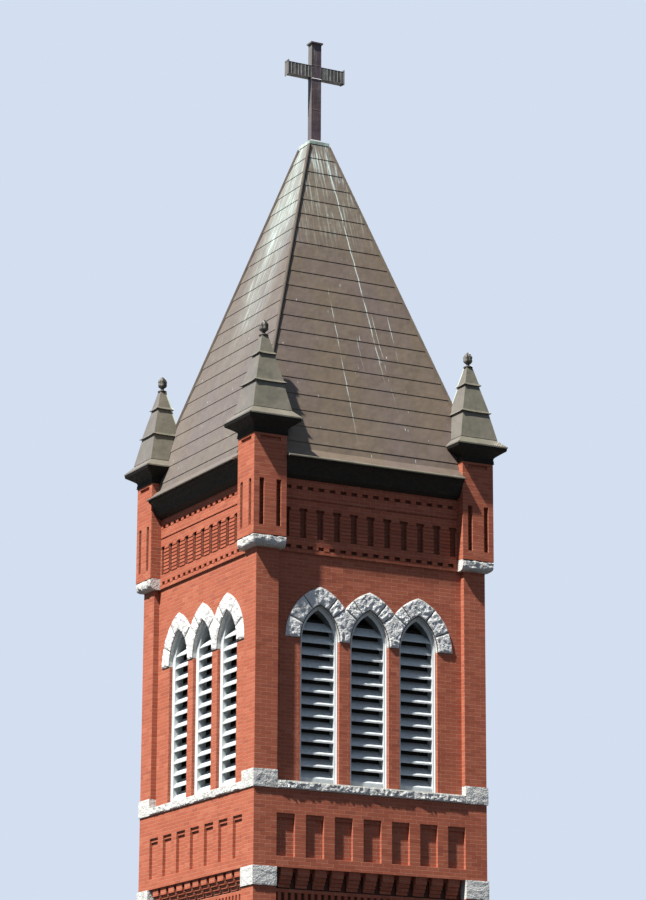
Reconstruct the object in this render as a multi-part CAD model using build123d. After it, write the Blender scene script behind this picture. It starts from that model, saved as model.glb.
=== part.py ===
from build123d import *

import os
from math import atan2, cos, pi, sin, sqrt

# A square brick bell tower with granite trim, corner pinnacles and a steep metal-clad spire.
# Millimetres, +Z up, origin on the ground at the middle of the square base, front face towards -Y.

os.makedirs("parts", exist_ok=True)

# Brick module that the whole tower is set out on
BRICK = 220.0                       # one brick along the wall, joint included
HEADER = BRICK / 2                  # half a brick
COURSE = 67.0                       # one course, joint included

# Plan
PIER_FACE = 21 * HEADER             # middle of the tower to the face of the corner piers
PIER = 2 * BRICK                    # width of a corner pier
BAY = PIER_FACE - PIER              # half the width between the piers
WALL_INSIDE = PIER_FACE - 2.5 * BRICK
WINDOW_WALL = PIER_FACE - HEADER    # face of the wall that the lancets are in
LOW_RECESS = 1.6 * HEADER           # depth of the recessed field below the corbel table
LOW_WALL = PIER_FACE - LOW_RECESS
STONE_PROUD = 25.0                  # granite stands this far in front of the brick
SHAFT_FACE = PIER_FACE + 1.1 * HEADER
SHAFT = 640.0                       # width of a pinnacle shaft
SHAFT_IN = SHAFT_FACE - SHAFT
PINNACLE = SHAFT_FACE - SHAFT / 2   # middle of a pinnacle from the middle of the tower

# Heights, stacked from the ground up and counted in brick courses in the brickwork
PLINTH_TOP = 9 * COURSE
WATER_TABLE_TOP = PLINTH_TOP + 3 * COURSE
LOW_BLOCK_FOOT = 120.37 * COURSE
LOW_BLOCK_TOP = LOW_BLOCK_FOOT + 4.88 * COURSE
CORBEL_FOOT = LOW_BLOCK_FOOT
CORBEL_TOP = LOW_BLOCK_TOP
DENTIL_TOP = CORBEL_FOOT - 0.37 * COURSE
DENTIL_HEIGHT = 5 * COURSE
PANEL_FOOT = LOW_BLOCK_TOP + 2.75 * COURSE
PANEL_TOP = PANEL_FOOT + 11 * COURSE
ABOVE_PANELS = 427.0                # brickwork between the panels and the belt
BELT_FOOT = PANEL_TOP + ABOVE_PANELS
SILL = 165.0                        # height of the granite sills
SILL_TOP = BELT_FOOT + SILL
BELT_BLOCK_TOP = BELT_FOOT + 1.88 * SILL
LANCET_SIDE = 2515.0                # sill to springing

# Lancets
WINDOW = 3.5 * BRICK                # clear width of a lancet
MULLION = BRICK                     # brick between two lancets
WINDOW_PITCH = WINDOW + MULLION
SPRINGING = SILL_TOP + LANCET_SIDE
ARCH_RISE = 618.0                   # springing to the point of the opening
ARCH_STONE = 305.0                  # height of the arch stones
ARCH_DEPTH = 1.8 * HEADER
ARCH_PROUD = 12.0
ARC_PARTS = 7                       # straight lengths that stand for one arc
HALF_WINDOW = WINDOW / 2
ARC_RADIUS = (HALF_WINDOW ** 2 + ARCH_RISE ** 2) / WINDOW
ARC_CENTRE = ARC_RADIUS - HALF_WINDOW
ARCH_CROWN = sqrt((ARC_RADIUS + ARCH_STONE) ** 2 - ARC_CENTRE ** 2)
FRAME_SET_BACK = 80.0
FRAME = 65.0
FRAME_DEPTH = 190.0
SLATS = 13
SLAT_RISE = 170.0                   # a slat slopes up and inwards by these two lengths
SLAT_RUN = 175.0
SLAT_THICK = 28.0                   # measured upright

# Heights above the lancets
ABOVE_ARCHES = 570.0                # brickwork between the arch stones and the frieze
FRIEZE = 1324.0
CORNICE = 349.0
SHAFT_HEAD = 411.0                  # the pinnacle shafts stand this far above the eave
PINNACLE_EAVE = 241.0               # height of the small cornice of a pinnacle
PINNACLE_ROOF = 1559.0              # drip to the foot of the finial
SPIRE = 6821.0
FRIEZE_FOOT = SPRINGING + ARCH_CROWN + ABOVE_ARCHES
CORBEL_STONE_TOP = FRIEZE_FOOT + 3 * COURSE
CORNICE_FOOT = FRIEZE_FOOT + FRIEZE
EAVE = CORNICE_FOOT + CORNICE
SHAFT_TOP = EAVE + SHAFT_HEAD
CAP_DRIP = SHAFT_TOP + PINNACLE_EAVE
SPIRE_TOP = EAVE + SPIRE
CROSS_HEIGHT = 2150.0
CROSS_TOP = SPIRE_TOP + CROSS_HEIGHT

# Spire
OVERHANG = 190.0                    # eave in front of the pier face
EAVE_HALF = PIER_FACE + OVERHANG
SPIRE_FOOT_HALF = EAVE_HALF - 0.66 * OVERHANG
SPIRE_TOP_HALF = 200.0
SPIRE_COURSES = 21
LAP = 12.0                          # a sheet course stands proud of the one below it
SPIRE_SHELL = 130.0                 # boards and sheet together
SKIRT = 190.0                       # height of the flared foot of the roof
CLEAR = 0.1 * HEADER                # how far a cutter reaches past what it cuts

SIDES = {"front": 0, "right": 90, "back": 180, "left": 270}


def block(x0, x1, y0, y1, z0, z1):
    """A box between two corners."""
    return Pos((x0 + x1) / 2, (y0 + y1) / 2, (z0 + z1) / 2) * Box(x1 - x0, y1 - y0, z1 - z0)


def wall_slab(half, face, z0, z1, inside=WALL_INSIDE):
    """A front wall between the piers, mitred at its inner corners against its neighbours."""
    plan = Polyline((-half, -face), (half, -face), (half, -half), (inside, -inside),
                    (-inside, -inside), (-half, -half), close=True)
    return extrude(Plane.XY.offset(z0) * make_face(plan), z1 - z0)


def turned(profile, sides=4):
    """A solid of flat faces, square or many-sided in plan, from (half width, height) pairs going up."""
    def ring(half, z):
        reach = half / cos(pi / sides)
        angles = [2 * pi * (k + 0.5) / sides for k in range(sides)]
        return [(reach * cos(a), reach * sin(a), z) for a in angles]

    rings = [ring(half, z) for half, z in profile]
    faces = [make_face(Polyline(*end, close=True)).face() for end in (rings[0], rings[-1])]
    for low, high in zip(rings, rings[1:]):
        for k in range(sides):
            quad = (low[k], low[k - 1], high[k - 1], high[k])
            faces.append(make_face(Polyline(*quad, close=True)).face())
    return Solid(Shell(faces))


def frustum(half0, half1, z0, z1):
    """A square frustum about the vertical axis."""
    return turned([(half0, z0), (half1, z1)])


def corners(shape, x=0.0, y=0.0):
    """Four copies of a shape made for the front right corner, one at each corner."""
    return [Rot(0, 0, turn) * (Pos(x, y, 0) * shape) for turn in SIDES.values()]


def around(shape):
    """Four copies of a shape made for the front, one on each side."""
    return [Rot(0, 0, turn) * shape for turn in SIDES.values()]


def save(shape, name):
    """Write one node."""
    if isinstance(shape, (list, tuple)):
        solids = [solid for item in shape for solid in item.solids()]
        shape = solids[0] if len(solids) == 1 else Compound(children=solids)
    export_step(shape, f"parts/{name}.step")


# Granite base: a plain plinth and the sloped water table that the brick shaft stands on
PLINTH_HALF = PIER_FACE + 1.455 * HEADER
WATER_TABLE_FOOT_HALF = PIER_FACE + HEADER
base = turned([(PLINTH_HALF, 0), (PLINTH_HALF, PLINTH_TOP), (WATER_TABLE_FOOT_HALF, PLINTH_TOP),
               (WATER_TABLE_FOOT_HALF, PLINTH_TOP + COURSE), (PIER_FACE + 0.14 * HEADER, WATER_TABLE_TOP)])
base -= frustum(WALL_INSIDE, WALL_INSIDE, -CLEAR, WATER_TABLE_TOP + CLEAR)
save(base, "granite_base")

# Corner piers: three lengths of brick pier at each corner, parted by the granite blocks
def pier_length(z0, z1):
    return block(BAY, PIER_FACE, -PIER_FACE, -BAY, z0, z1)


pier_parts = [pier_length(WATER_TABLE_TOP, LOW_BLOCK_FOOT),
              pier_length(LOW_BLOCK_TOP, BELT_FOOT),
              pier_length(BELT_BLOCK_TOP, FRIEZE_FOOT)]
for name, turn in {"front_right": 0, "back_right": 90, "back_left": 180, "front_left": 270}.items():
    save([Rot(0, 0, turn) * part for part in pier_parts], f"corner_pier_{name}")


def corner_stone(z0, z1, proud=STONE_PROUD):
    """A rock-faced granite block through a corner pier, its arrises knocked back."""
    stone = block(BAY, PIER_FACE + proud, -(PIER_FACE + proud), -BAY, z0, z1)
    face = PIER_FACE + proud / 2
    outer = [e for e in stone.edges() if e.center().X > face or e.center().Y < -face]
    return chamfer(outer, 0.56 * proud)


save(corners(corner_stone(LOW_BLOCK_FOOT, LOW_BLOCK_TOP)), "lower_granite_blocks")
save(corners(corner_stone(BELT_FOOT, BELT_BLOCK_TOP)), "belt_granite_blocks")

# Lower walls: the recessed field between the piers
lower_wall = wall_slab(BAY, LOW_WALL, WATER_TABLE_TOP, CORBEL_TOP)
for side, turn in SIDES.items():
    save(Rot(0, 0, turn) * lower_wall, f"lower_wall_{side}")

# Dentil band under the corbel table: two plain courses with a sunk strip between them for the bricks on end
DENTIL_PROUD = 0.4 * HEADER
dentil_foot = DENTIL_TOP - DENTIL_HEIGHT
dentil_face = LOW_WALL + DENTIL_PROUD
dentils = block(-BAY, BAY, -dentil_face, -LOW_WALL, dentil_foot, DENTIL_TOP)
dentils -= block(-BAY - CLEAR, BAY + CLEAR, -dentil_face - CLEAR, -(LOW_WALL + 0.2 * DENTIL_PROUD),
                 dentil_foot + 0.85 * COURSE, DENTIL_TOP - 0.85 * COURSE)
save(around(dentils), "dentil_bands")

# Corbel table: corbels one brick wide, half a brick apart, stepping out in four stages to just behind the wall above
CORBELS = 11
CORBEL_PITCH = BRICK + HEADER
CORBEL_STEPS = 4
CORBEL_BACK = 30.0
step_out = (LOW_RECESS - CORBEL_BACK) / CORBEL_STEPS
step_up = (CORBEL_TOP - CORBEL_FOOT - COURSE) / CORBEL_STEPS
section = [(-LOW_WALL, CORBEL_FOOT)]
for step in range(CORBEL_STEPS):
    out = -(LOW_WALL + step_out * (step + 1))
    section += [(out, CORBEL_FOOT + step * step_up), (out, CORBEL_FOOT + (step + 1) * step_up)]
section = [(-LOW_WALL, CORBEL_FOOT)] + section[1:-1] + [(CORBEL_BACK - PIER_FACE, CORBEL_TOP), (-LOW_WALL, CORBEL_TOP)]
corbel = extrude(Plane.YZ * make_face(Polyline(*section, close=True)), BRICK / 2, both=True)
tie = block(-BAY, BAY, -(LOW_WALL + step_out * 0.9), -LOW_WALL, CORBEL_TOP - COURSE * 0.9, CORBEL_TOP)
corbel_table = tie
for i in range(CORBELS):
    corbel_table += Pos((i - (CORBELS - 1) / 2) * CORBEL_PITCH, 0, 0) * corbel
save(around(corbel_table), "corbel_tables")

# Panel walls: flush with the piers, with seven sunk panels whose heads step out by one course
PANELS = 7
PANEL_DEPTH = 0.52 * HEADER
PANEL_BRICK = 0.955 * BRICK         # brick left between two panels
PANEL_WIDTH = (2 * BAY - (PANELS - 1) * PANEL_BRICK) / PANELS
panel_wall = wall_slab(BAY, PIER_FACE, CORBEL_TOP, BELT_FOOT)
panel_cuts = []
for i in range(PANELS):
    x0 = -BAY + i * (PANEL_WIDTH + PANEL_BRICK)
    x1 = x0 + PANEL_WIDTH
    head = PANEL_TOP - COURSE
    panel_cuts.append(block(x0, x1, -(PIER_FACE + CLEAR), -(PIER_FACE - PANEL_DEPTH), PANEL_FOOT, head))
    panel_cuts.append(block(x0, x1, -(PIER_FACE + CLEAR), -(PIER_FACE - PANEL_DEPTH / 2), head, PANEL_TOP))
panel_wall -= panel_cuts
for side, turn in SIDES.items():
    save(Rot(0, 0, turn) * panel_wall, f"panel_wall_{side}")

# Belt course: the granite sills between the corner blocks, weathered to the front
sill_plan = wall_slab(BAY, PIER_FACE + STONE_PROUD, BELT_FOOT, SILL_TOP)
cut_face = PIER_FACE + STONE_PROUD + CLEAR
cut = Polyline((-cut_face, SILL_TOP - 0.19 * SILL), (-cut_face, SILL_TOP + CLEAR),
               (-WINDOW_WALL, SILL_TOP + CLEAR), (-WINDOW_WALL, SILL_TOP), close=True)
weathering = extrude(Plane.YZ * make_face(cut), BAY + CLEAR, both=True)
save(around(sill_plan - weathering), "belt_sills")

# Lancet outlines. Each arch is two arcs struck from points on the springing line.
def lancet(grow, foot):
    """A pointed outline in the XZ plane, grown outwards by the same amount all round."""
    half = HALF_WINDOW + grow
    radius = ARC_RADIUS + grow
    crown = sqrt(radius ** 2 - ARC_CENTRE ** 2)
    sweep = atan2(crown, ARC_CENTRE)
    arc = []
    for k in range(ARC_PARTS):
        angle = sweep * k / ARC_PARTS
        arc.append((radius * cos(angle) - ARC_CENTRE, SPRINGING + radius * sin(angle)))
    mirrored = [(-x, z) for x, z in reversed(arc)]
    below = [(-half, foot), (half, foot)] if foot < SPRINGING else []
    return make_face(Polyline(*below, *arc, (0, SPRINGING + crown), *mirrored, close=True))


def upright(face, y_out, y_in):
    """Extrude an outline drawn in XZ from one depth of the front wall to another."""
    return extrude(Plane.XZ.offset(y_in) * face, y_out - y_in)


def windows(shape):
    """Three copies side by side."""
    return [Pos(i * WINDOW_PITCH, 0, 0) * shape for i in (-1, 0, 1)]


opening = upright(lancet(0, SILL_TOP - CLEAR), WINDOW_WALL + ARCH_STONE, WALL_INSIDE - ARCH_STONE)
arch_ring = upright(lancet(ARCH_STONE, SPRINGING), WINDOW_WALL + ARCH_PROUD, WINDOW_WALL - ARCH_DEPTH)
arches = windows(arch_ring)[0] + windows(arch_ring)[1:]
arch_seat = arches
arches -= windows(opening)
save(around(arches), "lancet_arches")

# Belfry walls: recessed half a brick between the piers, each with three lancets cut through
belfry_wall = wall_slab(BAY, WINDOW_WALL, SILL_TOP, FRIEZE_FOOT)
belfry_wall = belfry_wall - windows(opening) - arch_seat
for side, turn in SIDES.items():
    save(Rot(0, 0, turn) * belfry_wall, f"belfry_wall_{side}")

# Louvres: a white frame in each lancet with sloping boards
FRAME_FACE = WINDOW_WALL - FRAME_SET_BACK
frame = upright(lancet(0, SILL_TOP), FRAME_FACE, FRAME_FACE - FRAME_DEPTH)
frame_hole = upright(lancet(-FRAME, SILL_TOP + FRAME), FRAME_FACE + CLEAR, FRAME_FACE - FRAME_DEPTH - CLEAR)
SLAT_PITCH = (LANCET_SIDE + ARCH_RISE - 2 * FRAME) / (SLATS + 0.75)
louvre = frame - frame_hole
slat_front = 0.09 * FRAME - FRAME_FACE
slat_back = slat_front + SLAT_RUN
slat_section = Polyline((slat_front, 0), (slat_front, -SLAT_THICK), (slat_back, SLAT_RISE - SLAT_THICK),
                        (slat_back, SLAT_RISE), close=True)
slat = extrude(Plane.YZ * make_face(slat_section), WINDOW / 2, both=True)
slats = []
for i in range(SLATS):
    slats.append(Pos(0, 0, SILL_TOP + 1.35 * FRAME + i * SLAT_PITCH) * slat)
fill = upright(lancet(-FRAME / 2, SILL_TOP + FRAME / 2), FRAME_FACE, FRAME_FACE - FRAME_DEPTH)
for item in slats:
    louvre += item & fill
for side, turn in SIDES.items():
    save([Rot(0, 0, turn) * item for item in windows(louvre)], f"louvres_{side}")

# Frieze: hardly in front of the window wall, with two sunk courses, tall sunk slots and a fine groove
FRIEZE_FACE = WINDOW_WALL + 25.0
frieze = wall_slab(SHAFT_IN, FRIEZE_FACE, FRIEZE_FOOT, CORNICE_FOOT)
STRING_PROUD = 10.0
string = block(-SHAFT_IN, SHAFT_IN, -(FRIEZE_FACE + STRING_PROUD), -FRIEZE_FACE, FRIEZE_FOOT,
               FRIEZE_FOOT + 0.6 * COURSE)
SUNK = HEADER / 2                   # depth of the sunk courses and slots
TALL_SLOTS = 11
TALL_SLOT_PITCH = 1.54 * BRICK
TALL_SLOT = 0.564 * BRICK           # width of a tall slot, and below it the width of its head
TALL_HEAD = 0.773 * BRICK


def frieze_cut(x, width, course0, course1, depth=SUNK):
    """A recess in the frieze, counted in courses above its foot."""
    return block(x - width / 2, x + width / 2, -(FRIEZE_FACE + CLEAR), -(FRIEZE_FACE - depth),
                 FRIEZE_FOOT + course0 * COURSE, FRIEZE_FOOT + course1 * COURSE)


across = 2 * (SHAFT_IN + CLEAR)
cuts = [frieze_cut(0, across, 1, 2), frieze_cut(0, across, 17, 18)]
for i in range(TALL_SLOTS):
    x = (i - (TALL_SLOTS - 1) / 2) * TALL_SLOT_PITCH
    cuts.append(frieze_cut(x, TALL_SLOT, 4, 11))
    cuts.append(frieze_cut(x, TALL_HEAD, 11, 12))
cuts.append(frieze_cut(0, across, 14, 14.5, 0.2 * HEADER))
frieze = (frieze + string) - cuts
for side, turn in SIDES.items():
    save(Rot(0, 0, turn) * frieze, f"frieze_{side}")

# Granite corbel stones that carry the pinnacles, rounded under like cushions
stone = block(SHAFT_IN, SHAFT_FACE, -SHAFT_FACE, -SHAFT_IN, FRIEZE_FOOT, CORBEL_STONE_TOP)
under = [e for e in stone.edges().group_by(Axis.Z)[0]
         if e.center().X > SHAFT_FACE - 1 or e.center().Y < -(SHAFT_FACE - 1)]
cushion = SHAFT_FACE - PIER_FACE
stone = fillet(under, 0.96 * cushion)
save(corners(stone), "corbel_stones")

# Pinnacle shafts with two tall slots and a short one on each outer face
shaft = block(-SHAFT / 2, SHAFT / 2, -SHAFT / 2, SHAFT / 2, CORBEL_STONE_TOP, SHAFT_TOP)
SLOT_FOOT = CORBEL_STONE_TOP + 2.5 * COURSE
SLOT_HEAD = SLOT_FOOT + 12.5 * COURSE
SHAFT_SLOT = 0.15 * SHAFT
for x in (-0.26 * SHAFT, 0.26 * SHAFT):
    slot = block(x - SHAFT_SLOT / 2, x + SHAFT_SLOT / 2, -SHAFT / 2 - CLEAR, -SHAFT / 2 + HEADER,
                 SLOT_FOOT, SLOT_HEAD)
    shaft = shaft - slot - Rot(0, 0, 90) * slot
cap_line = block(-0.31 * SHAFT, 0.31 * SHAFT, -SHAFT / 2 - CLEAR, 0.32 * HEADER - SHAFT / 2,
                 SHAFT_TOP - 2.6 * COURSE, SHAFT_TOP - 1.6 * COURSE)
shaft = shaft - cap_line - Rot(0, 0, 90) * cap_line
shafts = corners(shaft, PINNACLE, -PINNACLE)
save(shafts, "pinnacle_shafts")

# Main cornice between the pinnacle shafts: cove, fascia and the crown that the roof drips over
CORNICE_STEPS = [(0, 0.063), (0.137, 0.41), (0.344, 0.526), (0.516, 0.621), (0.648, 0.753), (0.785, 0.832),
                 (0.862, 1)]
cornice_back = -WALL_INSIDE - 0.64 * BRICK
cornice_points = [(cornice_back, CORNICE_FOOT)]
for up, out in CORNICE_STEPS:
    cornice_points.append((-(FRIEZE_FACE + out * (EAVE_HALF - FRIEZE_FACE)), CORNICE_FOOT + up * CORNICE))
cornice_points += [(-EAVE_HALF, EAVE), (cornice_back, EAVE)]
cornice = extrude(Plane.YZ * make_face(Polyline(*cornice_points, close=True)), SHAFT_IN, both=True)
save(around(cornice), "main_cornice")

# Spire: a hollow four-sided shell of lapped sheet courses, notched round the pinnacle shafts
slope = (SPIRE_FOOT_HALF - SPIRE_TOP_HALF) / (SPIRE_TOP - EAVE)


def spire_half(z):
    return SPIRE_FOOT_HALF - slope * (z - EAVE)


rise = (SPIRE_TOP - EAVE) / SPIRE_COURSES
skirt_half = spire_half(EAVE + SKIRT)
lapped = [(EAVE_HALF, EAVE), (EAVE_HALF, EAVE + LAP), (skirt_half, EAVE + SKIRT),
          (spire_half(EAVE + rise), EAVE + rise)]
for i in range(1, SPIRE_COURSES):
    z0 = EAVE + i * rise
    lapped += [(spire_half(z0) + LAP, z0), (spire_half(z0 + rise) + 0.1 * LAP, z0 + rise)]
spire_outer = turned(lapped)
inner_top = SPIRE_TOP - 0.073 * (SPIRE_TOP - EAVE)
spire_hollow = frustum(SPIRE_FOOT_HALF - SPIRE_SHELL + slope * CLEAR, spire_half(inner_top) - SPIRE_SHELL,
                       EAVE - CLEAR, inner_top)
notch = block(SHAFT_IN, EAVE_HALF + CLEAR, -(EAVE_HALF + CLEAR), -SHAFT_IN, EAVE - CLEAR, SHAFT_TOP)
spire = spire_outer - spire_hollow - corners(notch)
save(spire, "spire")

# Hip battens along the four hips
BATTEN = 56.0
batten_foot = SHAFT_TOP + 2 * CLEAR
foot_point = Vector(spire_half(batten_foot), -spire_half(batten_foot), batten_foot)
batten_head = SPIRE_TOP - 0.44 * BATTEN
top_point = Vector(spire_half(batten_head), -spire_half(batten_head), batten_head)
batten_plane = Plane(origin=foot_point, z_dir=(top_point - foot_point), x_dir=(1, 1, 0))
batten = extrude(batten_plane * Rectangle(BATTEN, 1.1 * BATTEN), (top_point - foot_point).length)
envelope = frustum(SPIRE_FOOT_HALF + LAP, SPIRE_TOP_HALF + LAP, EAVE, SPIRE_TOP)
battens = batten - envelope

# Pinnacle cornices and roofs, cut back where they run into the spire
DRIP = 520.0
drip_out = DRIP - SHAFT / 2
drip_up = CAP_DRIP - SHAFT_TOP
cornice_steps = []
for out, up in [(0.015, 0), (0.065, 0.216), (0.225, 0.332), (0.55, 0.519), (0.9, 0.701), (0.94, 0.768),
                (0.96, 0.934)]:
    cornice_steps.append((SHAFT / 2 + out * drip_out, SHAFT_TOP + up * drip_up))
roof_foot = cornice_steps[-1][1]
cap_cornice = turned(cornice_steps)
cap_cornices = [item - envelope for item in corners(cap_cornice, PINNACLE, -PINNACLE)]

roof_profile = [(DRIP, roof_foot), (DRIP, CAP_DRIP + 0.7 * LAP)]
for share, up in [(0.715, 0.0956), (0.519, 0.429), (0.269, 0.778)]:
    level = CAP_DRIP + up * PINNACLE_ROOF
    roof_profile += [(share * DRIP, level), (share * DRIP + LAP, level)]
roof_profile.append((0.119 * DRIP, CAP_DRIP + PINNACLE_ROOF))
roof = turned(roof_profile)
roofs = [item - envelope for item in corners(roof, PINNACLE, -PINNACLE)]
save(cap_cornices, "pinnacle_cornices")
save(roofs, "pinnacle_roofs")

pinnacle_solid = Pos(PINNACLE, -PINNACLE, 0) * (cap_cornice + roof)
save([Rot(0, 0, turn) * (battens - pinnacle_solid) for turn in SIDES.values()], "hip_battens")

# Pinnacle finials: an eight-sided collar and bud
BUD_HALF = 93.0
BUD = 310.0                         # height of the finial
bud_profile = []
for out, up in [(0.65, 0), (0.8, 0.07), (0.8, 0.175), (0.5, 0.24), (0.4, 0.32), (0.825, 0.476), (1, 0.655),
                (0.775, 0.833), (0.3, 0.96), (0.12, 1)]:
    bud_profile.append((out * BUD_HALF, CAP_DRIP + PINNACLE_ROOF + up * BUD))
finial = turned(bud_profile, 8)
save(corners(finial, PINNACLE, -PINNACLE), "pinnacle_finials")

# Spire cap: a flat cap with a low hipped top
CAP_HALF = SPIRE_TOP_HALF + 14.0
CAP_RIM = 60.0
cap_top = SPIRE_TOP + 1.5 * CAP_RIM
save(turned([(CAP_HALF, SPIRE_TOP), (CAP_HALF, SPIRE_TOP + CAP_RIM), (0.56 * CAP_HALF, cap_top)]), "spire_cap")

# Cross: sheet-clad post and arm with a small lid on the post
POST_WIDTH = 205.0
POST_DEPTH = 150.0
ARM_LENGTH = 1212.0
ARM_HEIGHT = 240.0
LID = 40.0
neck = LID / 3.3
arm_top = CROSS_TOP - 0.2372 * CROSS_HEIGHT


def post(grow, z0, z1):
    """A length of the post, grown outwards by the same amount all round."""
    half_width = POST_WIDTH / 2 + grow
    half_depth = POST_DEPTH / 2 + grow
    return block(-half_width, half_width, -half_depth, half_depth, z0, z1)


cross = post(0, cap_top, CROSS_TOP - 3 * LID) + post(-neck, CROSS_TOP - 3 * LID, CROSS_TOP - LID)
cross += post(0.2 * LID, CROSS_TOP - LID, CROSS_TOP)
cross += block(-ARM_LENGTH / 2, ARM_LENGTH / 2, -POST_DEPTH / 2, POST_DEPTH / 2, arm_top - ARM_HEIGHT, arm_top)
save(cross, "cross")

# Belfry floor at the level of the granite belt, with a plain hatch in the back corner
HATCH = 720.0
FLOOR = 180.0
floor = block(-WALL_INSIDE, WALL_INSIDE, -WALL_INSIDE, WALL_INSIDE, BELT_FOOT - FLOOR, BELT_FOOT)
hatch_edge = WALL_INSIDE - 0.42 * HATCH
floor -= block(hatch_edge - HATCH, hatch_edge, hatch_edge - HATCH, hatch_edge, BELT_FOOT - FLOOR - CLEAR,
               BELT_FOOT + CLEAR)
save(floor, "belfry_floor")
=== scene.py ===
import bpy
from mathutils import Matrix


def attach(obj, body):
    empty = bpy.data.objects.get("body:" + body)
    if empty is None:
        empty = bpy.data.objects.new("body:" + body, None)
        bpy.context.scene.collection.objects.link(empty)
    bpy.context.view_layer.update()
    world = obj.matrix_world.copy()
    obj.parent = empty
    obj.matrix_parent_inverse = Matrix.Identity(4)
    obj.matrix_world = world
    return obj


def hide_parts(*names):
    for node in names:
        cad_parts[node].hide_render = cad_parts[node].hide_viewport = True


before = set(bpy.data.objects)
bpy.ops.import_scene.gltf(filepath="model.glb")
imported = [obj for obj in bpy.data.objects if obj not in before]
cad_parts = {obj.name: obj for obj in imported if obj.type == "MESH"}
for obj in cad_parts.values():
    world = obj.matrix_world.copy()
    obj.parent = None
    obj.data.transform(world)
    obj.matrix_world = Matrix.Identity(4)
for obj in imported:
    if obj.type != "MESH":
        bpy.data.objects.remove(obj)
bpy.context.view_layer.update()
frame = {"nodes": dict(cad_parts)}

import logging
import math
from contextlib import contextmanager
from dataclasses import dataclass, field
from enum import Enum
from functools import partial
from typing import Callable, Iterable, Iterator, Optional, Sequence, Union

import bmesh
import bpy
import numpy as np
from bpy.types import Material, NodeSocket, Object
from mathutils import Matrix, Vector, noise

LOG = logging.getLogger("bell_tower")

Term = Union["Signal", float, Sequence[float]]
Pair = tuple[float, float]
Row = tuple[float, ...]
Outline = Callable[[float, float], Pair]

BRICK = 0.220            # a brick along the wall, joint included
COURSE = 0.067           # a course, joint included
JOINT = 0.0065
PROUD = 0.001            # how far a brick stands in front of its mortar bed
PIER_FACE = 2.310        # middle of the tower to the face of the corner piers
PIER = 0.440
BAY = 1.870              # half the width between the piers
WINDOW_WALL = 2.200
LOW_WALL = 2.134
HALF_WINDOW = 0.385      # half the clear width of a lancet
PITCH = 0.990            # middle of a lancet to the middle of the next
ARC_RADIUS = 0.6885
ARC_CENTRE = 0.3035      # an arc is struck from this far beyond the middle of its lancet
ARCH_STONE = 0.305
STONE_FACE = 0.025       # how far the blocks stand in front of the piers
PINNACLE = 2.111         # middle of a pinnacle from the middle of the tower
SHAFT_HALF = 0.320
FRIEZE_FACE = 2.225
WATER_TABLE_TOP = 0.804
LOW_BLOCKS = (8.065, 8.392)
PANELS = (8.576, 9.313)
BELT = (9.740, 10.050)
SPRINGING = 12.420
FRIEZE_FOOT = 13.936
SPIRE_TOP = 22.430
FACING = 0.9             # how nearly a chosen face looks in the wanted direction
SLIP = 1e-4              # keeps a whole count of courses or bricks from falling one short
SCATTER = 43758.5453     # spreads the random numbers of the bricks
OUTERMOST = 0.999        # a share of the way out that lies on the outer face
NOWHERE = (90.0, 91.0)   # a zone above the tower, where nothing is


class Side(Enum):
    """The four sides of the tower, by how far a front piece is turned to reach them."""

    FRONT = 0
    RIGHT = 90
    BACK = 180
    LEFT = 270


def paint(code: str) -> tuple[float, float, float, float]:
    """Turns a colour written as six hexadecimal digits into a linear colour.

    Args:
        code: Red, green and blue as they look on a screen.

    Returns:
        The linear colour with an alpha of one.
    """
    channels = [int(code[i:i + 2], 16) / 255 for i in (0, 2, 4)]
    linear = [c / 12.92 if c <= 0.04045 else ((c + 0.055) / 1.055) ** 2.4 for c in channels]
    return (linear[0], linear[1], linear[2], 1.0)


def reckoning(operation: str, swapped: bool = False) -> Callable[..., "Signal"]:
    """Makes a method of Signal that adds a Math node.

    Args:
        operation: The node's operation.
        swapped: Says that the other number comes first.

    Returns:
        The method.
    """
    def method(self: "Signal", *others: Term) -> "Signal":
        """Adds the node and feeds it with the terms."""
        terms = (*others, self) if swapped else (self, *others)
        return self.graph.math(operation, *terms)
    return method


class Signal:
    """The output of a node, which adds Math nodes when it is reckoned with."""

    def __init__(self, graph: "Graph", socket: NodeSocket) -> None:
        """Keeps the socket and the graph that it belongs to."""
        self.graph, self.socket = graph, socket

    __add__ = reckoning("ADD")
    __sub__ = reckoning("SUBTRACT")
    __rsub__ = reckoning("SUBTRACT", swapped=True)
    __mul__ = reckoning("MULTIPLY")
    __truediv__ = reckoning("DIVIDE")
    __gt__ = reckoning("GREATER_THAN")
    __lt__ = reckoning("LESS_THAN")
    __abs__ = reckoning("ABSOLUTE")
    floor = reckoning("FLOOR")
    fraction = reckoning("FRACT")

    def step(self, start: float, end: float, high: float = 1.0, low: float = 0.0) -> "Signal":
        """Turns smoothly from one value to another between two bounds.

        Args:
            start: Where the change begins.
            end: Where the change is complete.
            high: The value after the change.
            low: The value before it.

        Returns:
            The changed signal.
        """
        inputs = dict(enumerate((self, start, end, low, high)))
        return self.graph.add("MapRange", 0, inputs, interpolation_type="SMOOTHSTEP")


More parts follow.
